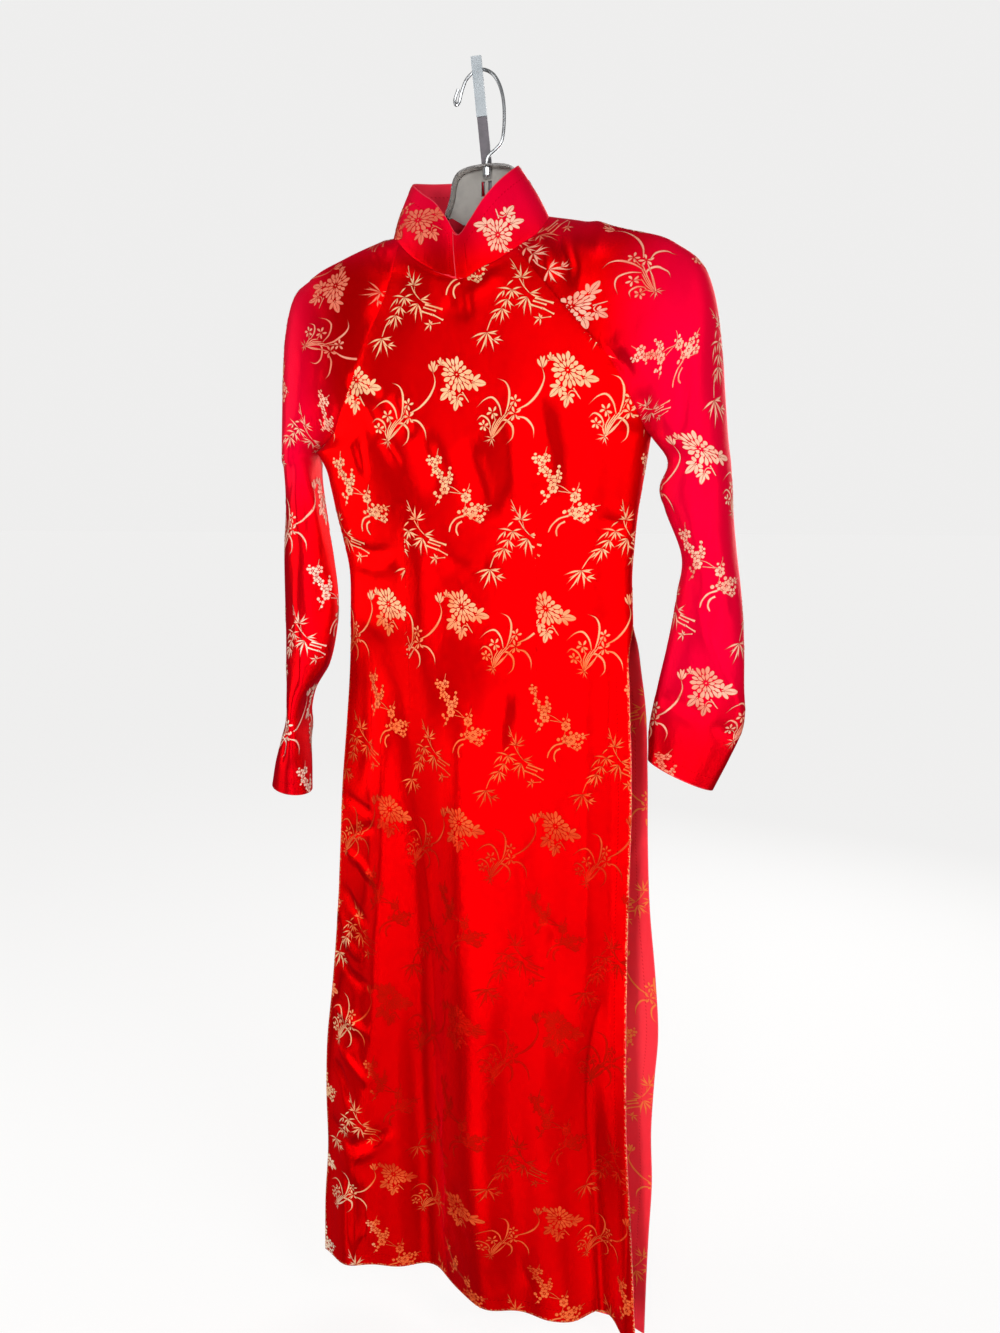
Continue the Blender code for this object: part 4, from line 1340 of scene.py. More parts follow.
def plum() -> list[Stroke]:
    """Draw a plum branch with round blossoms.

    Returns:
        The strokes.
    """
    strokes = []
    for corners, width in (
            ([(1, -33), (-8, -36), (-14, -43), (-16, -50)], 1.2),
            ([(-1, -39), (-6, -42), (-8, -48), (-6, -54)], 1.3),
            ([(1, -33), (3, -22), (4, -12), (-2, -9), (-9, -4), (-17, -1)], 0.6),
            ([(-14, -8), (-6, -9), (0, -10)], 0.6), ([(-17, -1), (-24, 9), (-31, 22)], 0.5),
            ([(-17, -1), (-14, 8), (-13, 17)], 0.6), ([(-20, -6), (-25, -14), (-31, -22)], 0.6),
            ([(1, -33), (12, -30), (22, -25), (32, -22)], 0.7), ([(26, -24), (29, -28)], 0.5),
            ([(4, -32), (14, -38), (19, -40)], 0.6), ([(-29, 26), (-27, 35), (-26, 38)], 0.5),
            ([(4, -9), (7, -3), (8, 1)], 0.5)):
        strokes.append(curved(corners, width, TWIG))
    flowers = (((-35, 24), 5.2), ((-27, 26), 5.4), ((-31, 17), 4.6), ((-26, 11), 5.4),
               ((-22, 4), 5.0), ((-15, 5), 5.2), ((-20, -5), 6.0), ((4, -14), 5.8),
               ((4, -28), 5.0), ((11, -29), 5.6), ((17, -25), 5.2), ((19, -36), 5.0))
    for number, (centre, size) in enumerate(flowers):
        strokes += blossom(centre, size, 31.0 * number, 6 if size > 5.5 else 5)
    buds = ((-35, 10), (-33, 13), (-14, 12), (-11, 10), (-13, 17), (-25, -13), (-29, -12),
            (-27, -18), (-31, -9), (2, -6), (8, -7), (10, -21), (24, -22), (25, -26),
            (9, -35), (14, -33), (24, -31), (-4, -29), (-38, 30), (-40, 26))
    for number, place in enumerate(buds):
        strokes.append(disc(place, 1.5 + 0.35 * (number % 3)))
    return strokes


class FlatMap:
    """Finds where a point of the flat cut lies on the hung piece."""
    reach: float = 0.35  # flat millimetres that a point may lie off the cloth

    def __init__(self, cut: Cut, lift: float, inner: bool = False) -> None:
        """Prepare the search.

        Args:
            cut: The piece.
            lift: How far above the cloth's face the found points lie.
            inner: True to work on the wrong side.
        """
        way = -1.0 if inner else 1.0
        lifted = cut.points + cut.normals * lift * way
        left, right = cut.seen_from()
        self.flats: list[tuple[Vector, ...]] = []
        self.hung: list[tuple[Vector, ...]] = []
        self.outs: list[Vector] = []
        for r in range(left.shape[0] - 1):
            for c in range(left.shape[1] - 1):
                flat = [Vector((*corner, 0.0)) for corner in (
                    right[r, c], right[r + 1, c], left[r + 1, c + 1], left[r, c + 1])]
                hung = [Vector(corner) for corner in (
                    lifted[r, c], lifted[r + 1, c], lifted[r + 1, c + 1], lifted[r, c + 1])]
                for picked in ((0, 1, 2), (0, 2, 3)):
                    self.flats.append(tuple(flat[n] for n in picked))
                    self.hung.append(tuple(hung[n] for n in picked))
                    self.outs.append(Vector(cut.normals[r, c]) * way)
        corners = [corner for triangle in self.flats for corner in triangle]
        faces = np.arange(len(corners)).reshape(-1, 3).tolist()
        self.tree = BVHTree.FromPolygons(corners, faces)

    def find(self, x: float, y: float, above: float) -> Vector | None:
        """Find a flat point on the hung piece.

        Args:
            x: Its flat x.
            y: Its flat y.
            above: How much further above the cloth it lies.

        Returns:
            Its place, or None where there is no cloth.
        """
        near, _, index, _ = self.tree.find_nearest(Vector((x, y, 0.0)), self.reach)
        if near is None:
            return None
        place = barycentric_transform(near, *self.flats[index], *self.hung[index])
        return place + self.outs[index] * above


@dataclass(frozen=True)
class Brocade:
    """The weave's repeat: where its four sprigs stand, in flat millimetres."""
    across: float = 118.0
    down: float = 243.0
    rows: int = 8  # repeats laid each way from the first
    columns: int = 6
    reach: float = 55.0  # how far a sprig reaches from its middle
    places: tuple[tuple[Motif, float, float], ...] = (
        (Motif.BAMBOO, 0.0, 0.0), (Motif.CHRYSANTHEMUM, -57.0, 71.0),
        (Motif.ORCHID, -2.0, 100.0), (Motif.PLUM, -58.0, 177.0))

    def sprigs(self, cut: Cut, origin: Pair) -> list[tuple[Motif, float, float, float]]:
        """List the sprigs that may reach a piece.

        Args:
            cut: The piece.
            origin: Flat place of one bamboo sprig.

        Returns:
            Each sprig with the flat place of its middle and its turn in degrees.
        """
        low = cut.flat.reshape(-1, 2).min(axis=0) - self.reach
        high = cut.flat.reshape(-1, 2).max(axis=0) + self.reach
        found = []
        for row in range(-self.rows, self.rows + 1):
            for column in range(-self.columns, self.columns + 1):
                for motif, x, y in self.places:
                    spot = (origin[0] + column * self.across + x, origin[1] + row * self.down + y)
                    if low[0] < spot[0] < high[0] and low[1] < spot[1] < high[1]:
                        found.append((motif, *spot, 0.0))
        return found


DRAWINGS: dict[Motif, Callable[[], list[Stroke]]] = {
    Motif.BAMBOO: bamboo, Motif.CHRYSANTHEMUM: chrysanthemum, Motif.ORCHID: orchid,
    Motif.PLUM: plum}


@dataclass
class GoldWeft:
    """The sprigs woven in gold on one piece, as a thin overlay on its cloth."""
    name: str
    shell: Shell
    sprigs: Sequence[tuple[Motif, float, float, float]]
    lustre: Callable[[Vector], float]
    inner: bool = False
    lift: float = 0.28
    top: float = 9999.0  # nothing is woven above this height
    layer: float = 0.03  # millimetres between strokes that may cross
    layers: int = 6

    def __post_init__(self) -> None:
        """Start the overlay's points, their flat places and half widths, and its faces."""
        self.points: list[Vector] = []
        self.flats: list[Pair] = []
        self.halves: list[float] = []
        self.faces: list[tuple[int, ...]] = []
        lift = self.lift + (self.shell.wall if self.inner else 0.0)
        self.search = FlatMap(self.shell.cut, lift, self.inner)

    def build(self, finish: Material) -> Object:
        """Make the overlay's mesh.

        Args:
            finish: The gold thread's finish.

        Returns:
            The new object.
        """
        drawings = {motif: draw() for motif, draw in DRAWINGS.items()}
        for motif, x, y, turn in self.sprigs:
            for number, stroke in enumerate(drawings[motif]):
                self.add_stroke(turned(stroke, turn), (x, y), self.layer * (number % self.layers))
        mesh = bpy.data.meshes.new(self.name)
        points = np.array([tuple(point) for point in self.points])
        mesh.from_pydata(to_metres(points).tolist(), [], self.faces)
        flats = np.array(self.flats)
        uv = self.shell.in_map(flats, self.inner)[np.array(self.faces)]
        mesh.uv_layers.new(name="OFBake").data.foreach_set("uv", uv.reshape(-1))
        add_values(mesh, "flat_mm", np.pad(flats, ((0, 0), (0, 1))))
        add_values(mesh, "lustre", np.array([self.lustre(point) for point in self.points]))
        add_values(mesh, "half_mm", np.array(self.halves))
        add_values(mesh, "across", np.tile([-1.0, 1.0], len(self.points) // 2))
        mesh.materials.append(finish)
        mesh.shade_smooth()
        return add_object(self.name, mesh)

    def add_stroke(self, stroke: Stroke, middle: Pair, above: float) -> None:
        """Add one stroke, leaving out what falls off the cloth.

        Args:
            stroke: The stroke, with y up.
            middle: Flat place of its sprig's middle.
            above: How far it lies above the lowest strokes.
        """
        spine = np.array(stroke.spine)
        ways = np.gradient(spine, axis=0)
        ways /= np.maximum(np.linalg.norm(ways, axis=1, keepdims=True), 1e-9)
        joined = False
        for (px, py), (dx, dy), width in zip(spine, ways, stroke.widths):
            pair = []
            for side in (-1.0, 1.0):
                flat = (middle[0] + px - dy * width * side,
                        middle[1] - (py + dx * width * side))
                place = self.search.find(*flat, above)
                if place is None or place.z >= self.top:
                    break
                pair.append((place, flat))
            if len(pair) < 2:
                joined = False
                continue
            first = len(self.points)
            for place, flat in pair:
                self.points.append(place)
                self.flats.append(flat)
                self.halves.append(width)
            if joined:
                quad = (first - 2, first - 1, first + 1, first)
                self.faces.append(quad if self.inner else quad[::-1])
            joined = True


# ---- shader helpers ----

class Tree:
    """Adds nodes to one node tree and links them."""

    def __init__(self, tree: NodeTree) -> None:
        """Work on one tree."""
        self.tree = tree
        self.step = 0

    def node(self, kind: str, **settings: object) -> Node:
        """Add a node.

        Args:
            kind: Its type.
            **settings: Some of its settings.

        Returns:
            The node.
        """
        made = self.tree.nodes.new(kind)
        made.location = (180.0 * self.step, 0.0)
        self.step += 1
        for key, value in settings.items():
            setattr(made, key, value)
        return made

    def feed(self, socket: NodeSocket, value: object) -> None:
        """Link a socket into another, or give it a plain value.

        Args:
            socket: The input to feed.
            value: An output socket, a number, or a colour with or without its alpha.
        """
        if isinstance(value, NodeSocket):
            self.tree.links.new(value, socket)
        elif socket.type == "RGBA" and len(value) == 3:
            socket.default_value = (*value, 1.0)
        else:
            socket.default_value = value

    def fill(self, made: Node, **values: object) -> None:
        """Feed a node's inputs by their names, with _ for a space."""
        for name, value in values.items():
            self.feed(made.inputs[name.replace("_", " ")], value)

    def maths(self, operation: str, *values: object) -> NodeSocket:
        """Add a Math node.

        Args:
            operation: What it does.
            *values: What it works on.

        Returns:
            Its output.
        """
        made = self.node("ShaderNodeMath", operation=operation)
        for socket, value in zip(made.inputs, values):
            self.feed(socket, value)
        return made.outputs[0]

    def times(self, first: object, second: object) -> NodeSocket:
        """Multiply two values."""
        return self.maths("MULTIPLY", first, second)

    def scaled(self, value: object, factor: object, added: object) -> NodeSocket:
        """Multiply a value by a factor and add another to it."""
        return self.maths("MULTIPLY_ADD", value, factor, added)

    def ramp(self, value: object, low: float, high: float, start: float = 0.0,
             end: float = 1.0) -> NodeSocket:
        """Map a value from one range to another, smoothly and within its ends.

        Args:
            value: The value.
            low: Where the first range starts.
            high: Where it ends.
            start: Where the second range starts.
            end: Where it ends.

        Returns:
            The mapped value.
        """
        made = self.node("ShaderNodeMapRange", interpolation_type="SMOOTHSTEP")
        self.fill(made, Value=value, From_Min=low, From_Max=high, To_Min=start, To_Max=end)
        return made.outputs[0]

    def blend(self, share: object, first: object, second: object) -> NodeSocket:
        """Mix two colours.

        Args:
            share: The second colour's share.
            first: The first colour.
            second: The second colour.

        Returns:
            The mixed colour.
        """
        made = self.node("ShaderNodeMix", data_type="RGBA")
        for place, value in ((0, share), (6, first), (7, second)):
            self.feed(made.inputs[place], value)
        return made.outputs[2]

    def noise(self, place: object, scale: float, detail: float = 2.0, roughness: float = 0.5,
              stretch: tuple[float, float, float] = (1.0, 1.0, 1.0)) -> NodeSocket:
        """Add a noise texture.

        Args:
            place: The place that it is read at.
            scale: Its scale.
            detail: How many finer noises it adds.
            roughness: How strong each finer noise is.
            stretch: Factors that the place is multiplied by.

        Returns:
            The noise.
        """
        mapping = self.node("ShaderNodeMapping")
        self.fill(mapping, Scale=stretch, Vector=place)
        made = self.node("ShaderNodeTexNoise")
        self.fill(made, Vector=mapping.outputs[0], Scale=scale, Detail=detail,
                  Roughness=roughness)
        return made.outputs["Fac"]

    def bump(self, height: object, distance: float) -> NodeSocket:
        """Add a bump.

        Args:
            height: Its height over the surface.
            distance: The metres that a height of 1 stands for.

        Returns:
            The bumped normal.
        """
        made = self.node("ShaderNodeBump")
        self.fill(made, Distance=distance, Height=height)
        return made.outputs[0]

    def attribute(self, name: str, vector: bool = False) -> NodeSocket:
        """Read an attribute of the mesh."""
        made = self.node("ShaderNodeAttribute", attribute_name=name)
        return made.outputs["Vector" if vector else "Fac"]

    def place(self) -> NodeSocket:
        """Read the place on the object."""
        return self.node("ShaderNodeTexCoord").outputs["Object"]

    def group(self, group: NodeTree, **values: object) -> NodeOutputs:
        """Place a node group.

        Args:
            group: The group.
            **values: Its inputs by their names, with _ for a space.

        Returns:
            Its outputs.
        """
        made = self.node("ShaderNodeGroup")
        made.node_tree = group
        self.fill(made, **values)
        return made.outputs


def new_group(name: str, inputs: dict[str, float | None],
              outputs: Sequence[str]) -> tuple[NodeTree, Tree, dict, Node]:
    """Start a shader node group.

    Args:
        name: The group's name.
        inputs: The default of each input, or None where it takes a vector.
        outputs: The name of each output, all of them values.

    Returns:
        The group, a tree to work on, its input sockets by name and its output node.
    """
    group = bpy.data.node_groups.new(name, "ShaderNodeTree")
    for label, default in inputs.items():
        kind = "NodeSocketVector" if default is None else "NodeSocketFloat"
        socket = group.interface.new_socket(name=label, in_out="INPUT", socket_type=kind)
        if default is not None:
            socket.default_value = default
    for label in outputs:
        group.interface.new_socket(name=label, in_out="OUTPUT", socket_type="NodeSocketFloat")
    tree = Tree(group)
    start = tree.node("NodeGroupInput")
    given = {socket.name: socket for socket in start.outputs if socket.name}
    return group, tree, given, tree.node("NodeGroupOutput")


STITCH = 4.5  # flat millimetres from one hem stitch to the next


class ShaderParts:
    """The shader node groups that the finishes share, each built once."""

    def __init__(self) -> None:
        """Build every group."""
        self.weave = self.build_weave()
        self.crumple = self.build_crumple()
        self.seams = self.build_seams()
        self.wear = self.build_wear()

    def build_weave(self) -> NodeTree:
        """Build the satin weave: slanting floats of warp over fine weft.

        Returns:
            The group.
        """
        group, tree, given, end = new_group("satin weave", {"Flat": None, "Pitch": 0.5},
                                            ("Height", "Slub"))
        split = tree.node("ShaderNodeSeparateXYZ")
        tree.feed(split.inputs[0], given["Flat"])
        x, y = split.outputs[0], split.outputs[1]
        turn = tree.maths("DIVIDE", math.tau, given["Pitch"])
        warp = tree.maths("SINE", tree.times(x, turn))
        step = tree.maths("ADD", tree.times(x, 0.4), y)
        weft = tree.maths("SINE", tree.times(tree.times(step, turn), 0.42))
        height = tree.scaled(weft, 0.35, tree.times(warp, 0.5))
        slub = tree.noise(given["Flat"], 0.9, roughness=0.6, stretch=(0.08, 1.6, 1.0))
        tree.fill(end, Height=tree.scaled(slub, 0.8, height), Slub=slub)
        return group

    def build_crumple(self) -> NodeTree:
        """Build the small soft creases of handled silk.

        Returns:
            The group.
        """
        group, tree, given, end = new_group("silk crumple", {"Place": None},
                                            ("Height", "Drift"))
        place = given["Place"]
        broad = tree.noise(place, 16.0, roughness=0.45, stretch=(1.0, 1.0, 0.55))
        fine = tree.noise(place, 60.0, 3.0, roughness=0.55, stretch=(1.0, 1.0, 0.5))
        ridge = tree.maths("ABSOLUTE", tree.maths("SUBTRACT", fine, 0.5))
        tree.fill(end, Height=tree.scaled(ridge, -0.35, broad), Drift=tree.noise(place, 4.5))
        return group

    def build_seams(self) -> NodeTree:
        """Build seam grooves with their puckers, turned hems and hem stitches.

        Returns:
            The group.
        """
        group, tree, given, end = new_group(
            "seams and hems", {"Flat": None, "Sewn": FAR, "Free": FAR, "Hem": 14.0},
            ("Height", "Groove", "Edge", "Stitch", "Fleck"))
        flat, sewn, free = given["Flat"], given["Sewn"], given["Free"]
        groove = tree.ramp(sewn, 0.0, 1.8, 1.0, 0.0)
        close = tree.ramp(sewn, 0.0, 12.0, 1.0, 0.0)
        pucker = tree.times(tree.noise(flat, 0.22, 1.0), close)
        away = tree.maths("ABSOLUTE", tree.maths("SUBTRACT", free, given["Hem"]))
        line = tree.ramp(away, 0.2, 1.0, 1.0, 0.0)
        split = tree.node("ShaderNodeSeparateXYZ")
        tree.feed(split.inputs[0], flat)
        along = tree.maths("ADD", split.outputs[0], split.outputs[1])
        dash = tree.maths("SINE", tree.times(along, math.tau / STITCH))
        height = tree.scaled(groove, -0.25, tree.times(pucker, 1.1))
        height = tree.scaled(line, -0.12, height)
        speck = tree.ramp(tree.noise(flat, 0.35, roughness=0.6), 0.5, 0.58)
        tree.fill(end, Height=tree.scaled(tree.ramp(free, 0.0, 1.2), 0.4, height), Groove=groove,
                  Edge=tree.ramp(free, 0.2, 1.5, 1.0, 0.0),
                  Stitch=tree.times(line, tree.ramp(dash, 0.1, 0.5)),
                  Fleck=tree.times(tree.ramp(free, 1.2, 3.0, 1.0, 0.0), speck))
        return group

    def build_wear(self) -> NodeTree:
        """Build the handling marks and fine scratches of bare metal and plastic.

        Returns:
            The group.
        """
        group, tree, given, end = new_group("handling marks", {"Place": None},
                                            ("Smudge", "Scratch"))
        smudge = tree.noise(given["Place"], 55.0, 3.0, roughness=0.6)
        scratch = tree.noise(given["Place"], 260.0, stretch=(1.0, 1.0, 0.06))
        tree.fill(end, Smudge=tree.ramp(smudge, 0.35, 0.7), Scratch=scratch)
        return group


# ---- finishes ----

def start_material(name: str) -> tuple[Material, Tree, Node]:
    """Start a material.

    Args:
        name: Its name.

    Returns:
        The material, a tree to work on and its Principled shader.
    """
    material = bpy.data.materials.new(name)
    material.use_nodes = True
    return material, Tree(material.node_tree), material.node_tree.nodes["Principled BSDF"]


@dataclass(frozen=True)
class SilkFinish:
    """Red satin, on its right side or its wrong side."""
    name: str
    lit: Colour = (0.88, 0.0, 0.001)
    deep: Colour = (0.78, 0.0, 0.001)
    # crimson that stands in for the satin's sheen towards the shoulders: painted sheen
    painted_sheen_colour: Colour = (0.86, 0.0, 0.036)
    # pale pink of a painted highlight along the rolled free edges
    edge: Colour = (0.95, 0.16, 0.20)
    selvedge: Colour = (0.86, 0.40, 0.16)
    flecks: float = 0.0
    sheen: Colour = (1.0, 0.0, 0.10)
    sheen_weight: float = 0.18
    metallic: float = 0.82
    roughness: float = 0.44
    crumple: float = 1.0
    pitch: float = 0.6  # millimetres from one thread to the next
    painted_sheen_metal: float = 0.4  # share of the metallic that a place under the painted sheen keeps

    def build(self, parts: ShaderParts) -> Material:
        """Make the material.

        Args:
            parts: The shared groups.

        Returns:
            The material.
        """
        material, tree, shader = start_material(self.name)
        flat = tree.attribute("flat_mm", vector=True)
        painted_sheen = tree.attribute("painted_sheen")
        weave = tree.group(parts.weave, Flat=flat, Pitch=self.pitch)
        crumple = tree.group(parts.crumple, Place=tree.place())
        seams = tree.group(parts.seams, Flat=flat, Sewn=tree.attribute("sewn_mm"),
                           Free=tree.attribute("free_mm"))
        colour = tree.blend(tree.ramp(crumple["Drift"], 0.35, 0.68), self.deep, self.lit)
        # painted sheen: the red turns crimson-pink towards the shoulders and out along the sleeves
        colour = tree.blend(painted_sheen, colour, self.painted_sheen_colour)
        for mask, share, tint in (
                (weave["Slub"], 0.2, self.lit),
                # painted shade: darker red in the seam grooves
                (seams["Groove"], 0.12, (self.deep[0] * 0.35, 0.0, 0.0)),
                (seams["Stitch"], 0.5, (self.deep[0] * 0.6, 0.0, 0.0)),
                # painted highlight: a pale pink rim along the free, rolled edges
                (seams["Edge"], 0.5, self.edge),
                (seams["Fleck"], self.flecks, self.selvedge)):
            colour = tree.blend(tree.times(mask, share), colour, tint)
        height = tree.scaled(crumple["Height"], 1.6 * self.crumple,
                             tree.times(weave["Height"], 0.035))
        height = tree.maths("ADD", height, tree.times(seams["Height"], 0.4))
        tree.fill(shader, Base_Color=colour,
                  Roughness=tree.scaled(weave["Slub"], 0.16, self.roughness - 0.08),
                  Metallic=tree.ramp(painted_sheen, 0.0, 1.0, self.metallic,
                                     self.metallic * self.painted_sheen_metal),
                  Specular_IOR_Level=0.08, Specular_Tint=(1.0, 0.05, 0.08),
                  Sheen_Weight=self.sheen_weight, Sheen_Roughness=0.38, Sheen_Tint=self.sheen,
                  Anisotropic=0.7, Anisotropic_Rotation=0.25, Normal=tree.bump(height, MM))
        return material


@dataclass(frozen=True)
class GoldFinish:
    """The gold weft, with painted light: lit champagne where its painted shine is high, shaded
    copper and red where it is low.
    """
    name: str
    # lit, half-lit and shaded copies of the gold, which the painted shine mixes; glow is a painted
    # glint where the shine is highest
    bright: Colour = (0.97, 0.55, 0.30)
    middle: Colour = (0.97, 0.16, 0.035)
    shaded_gold: Colour = (0.72, 0.004, 0.001)
    # painted shadow along the edges of every woven shape
    edge_shadow: Colour = (0.50, 0.012, 0.003)
    glow: Colour = (1.0, 0.84, 0.68)
    roughness: float = 0.42
    pitch: float = 0.8  # millimetres from one thread to the next

    def build(self, parts: ShaderParts) -> Material:
        """Make the material.

        Args:
            parts: The shared groups.

        Returns:
            The material.
        """
        material, tree, shader = start_material(self.name)
        weave = tree.group(parts.weave, Flat=tree.attribute("flat_mm", vector=True),
                           Pitch=self.pitch)
        # painted light: random patches vary the painted shine, and the gold turns from shaded red
        # through copper to lit champagne and a painted glint as it rises
        patch = tree.scaled(tree.noise(tree.place(), 30.0, roughness=0.55), 1.3, 0.35)
        lustre = tree.times(patch, tree.attribute("lustre"))
        colour = self.shaded_gold
        for low, high, tint in ((0.12, 0.5, self.middle), (0.45, 0.95, self.bright),
                                (1.05, 1.6, self.glow)):
            colour = tree.blend(tree.ramp(lustre, low, high), colour, tint)
        # painted highlights on the crowns of the threads where the painted shine is high
        threads = tree.ramp(weave["Height"], -0.2, 1.1, 0.0, 0.4)
        colour = tree.blend(tree.times(threads, tree.ramp(lustre, 0.2, 1.0)), colour, self.bright)
        # painted shadow: darker red along the edges of every woven shape
        inside = tree.maths("SUBTRACT", 1.0, tree.maths("ABSOLUTE", tree.attribute("across")))
        inwards = tree.times(inside, tree.attribute("half_mm"))
        colour = tree.blend(tree.ramp(inwards, 0.1, 0.5, 0.85, 0.0), colour, self.edge_shadow)
        tree.fill(shader, Base_Color=colour, Metallic=tree.ramp(lustre, 0.08, 0.45, 0.7, 0.2),
                  Roughness=tree.scaled(weave["Slub"], 0.2, self.roughness - 0.1),
                  Specular_IOR_Level=0.12, Specular_Tint=(1.0, 0.3, 0.2), Anisotropic=0.6,
                  Anisotropic_Rotation=0.25,
                  Normal=tree.bump(tree.times(weave["Height"], 0.09), MM))
        return material


@dataclass(frozen=True)
class HardFinish:
    """A metal or plastic of the hanger, with smudges and fine scratches."""
    name: str
    colour: Colour
    marked: Colour
    metallic: float
    roughness: float
    marked_roughness: float
    scratch: float = 0.02  # depth of the scratches, in mm

    def build(self, parts: ShaderParts) -> Material:
        """Make the material.

        Args:
            parts: The shared groups.

        Returns:
            The material.
        """
        material, tree, shader = start_material(self.name)
        wear = tree.group(parts.wear, Place=tree.place())
        rough = tree.ramp(wear["Smudge"], 0.0, 1.0, self.roughness, self.marked_roughness)
        tree.fill(shader, Base_Color=tree.blend(wear["Smudge"], self.colour, self.marked),
                  Roughness=rough, Metallic=self.metallic,
                  Normal=tree.bump(wear["Scratch"], self.scratch * MM))
        return material


DAYLIGHT = (1.0, 0.995, 0.99)


@dataclass(frozen=True)
class FloorFinish:
    """A plain pale floor."""
    name: str = "pale_floor"
    colour: Colour = (0.16, 0.159, 0.157)
    glow: float = 0.83

    def build(self) -> Material:
        """Make the material.

        Returns:
            The material.
        """
        material, tree, shader = start_material(self.name)
        darker = tuple(channel * 0.96 for channel in self.colour)
        seen = tree.node("ShaderNodeLightPath").outputs["Is Camera Ray"]
        tree.fill(shader, Base_Color=tree.blend(tree.noise(tree.place(), 1.2), self.colour, darker),
                  Emission_Color=DAYLIGHT, Emission_Strength=tree.times(seen, self.glow),
                  Roughness=0.8)
        return material


# ---- sub-assemblies ----

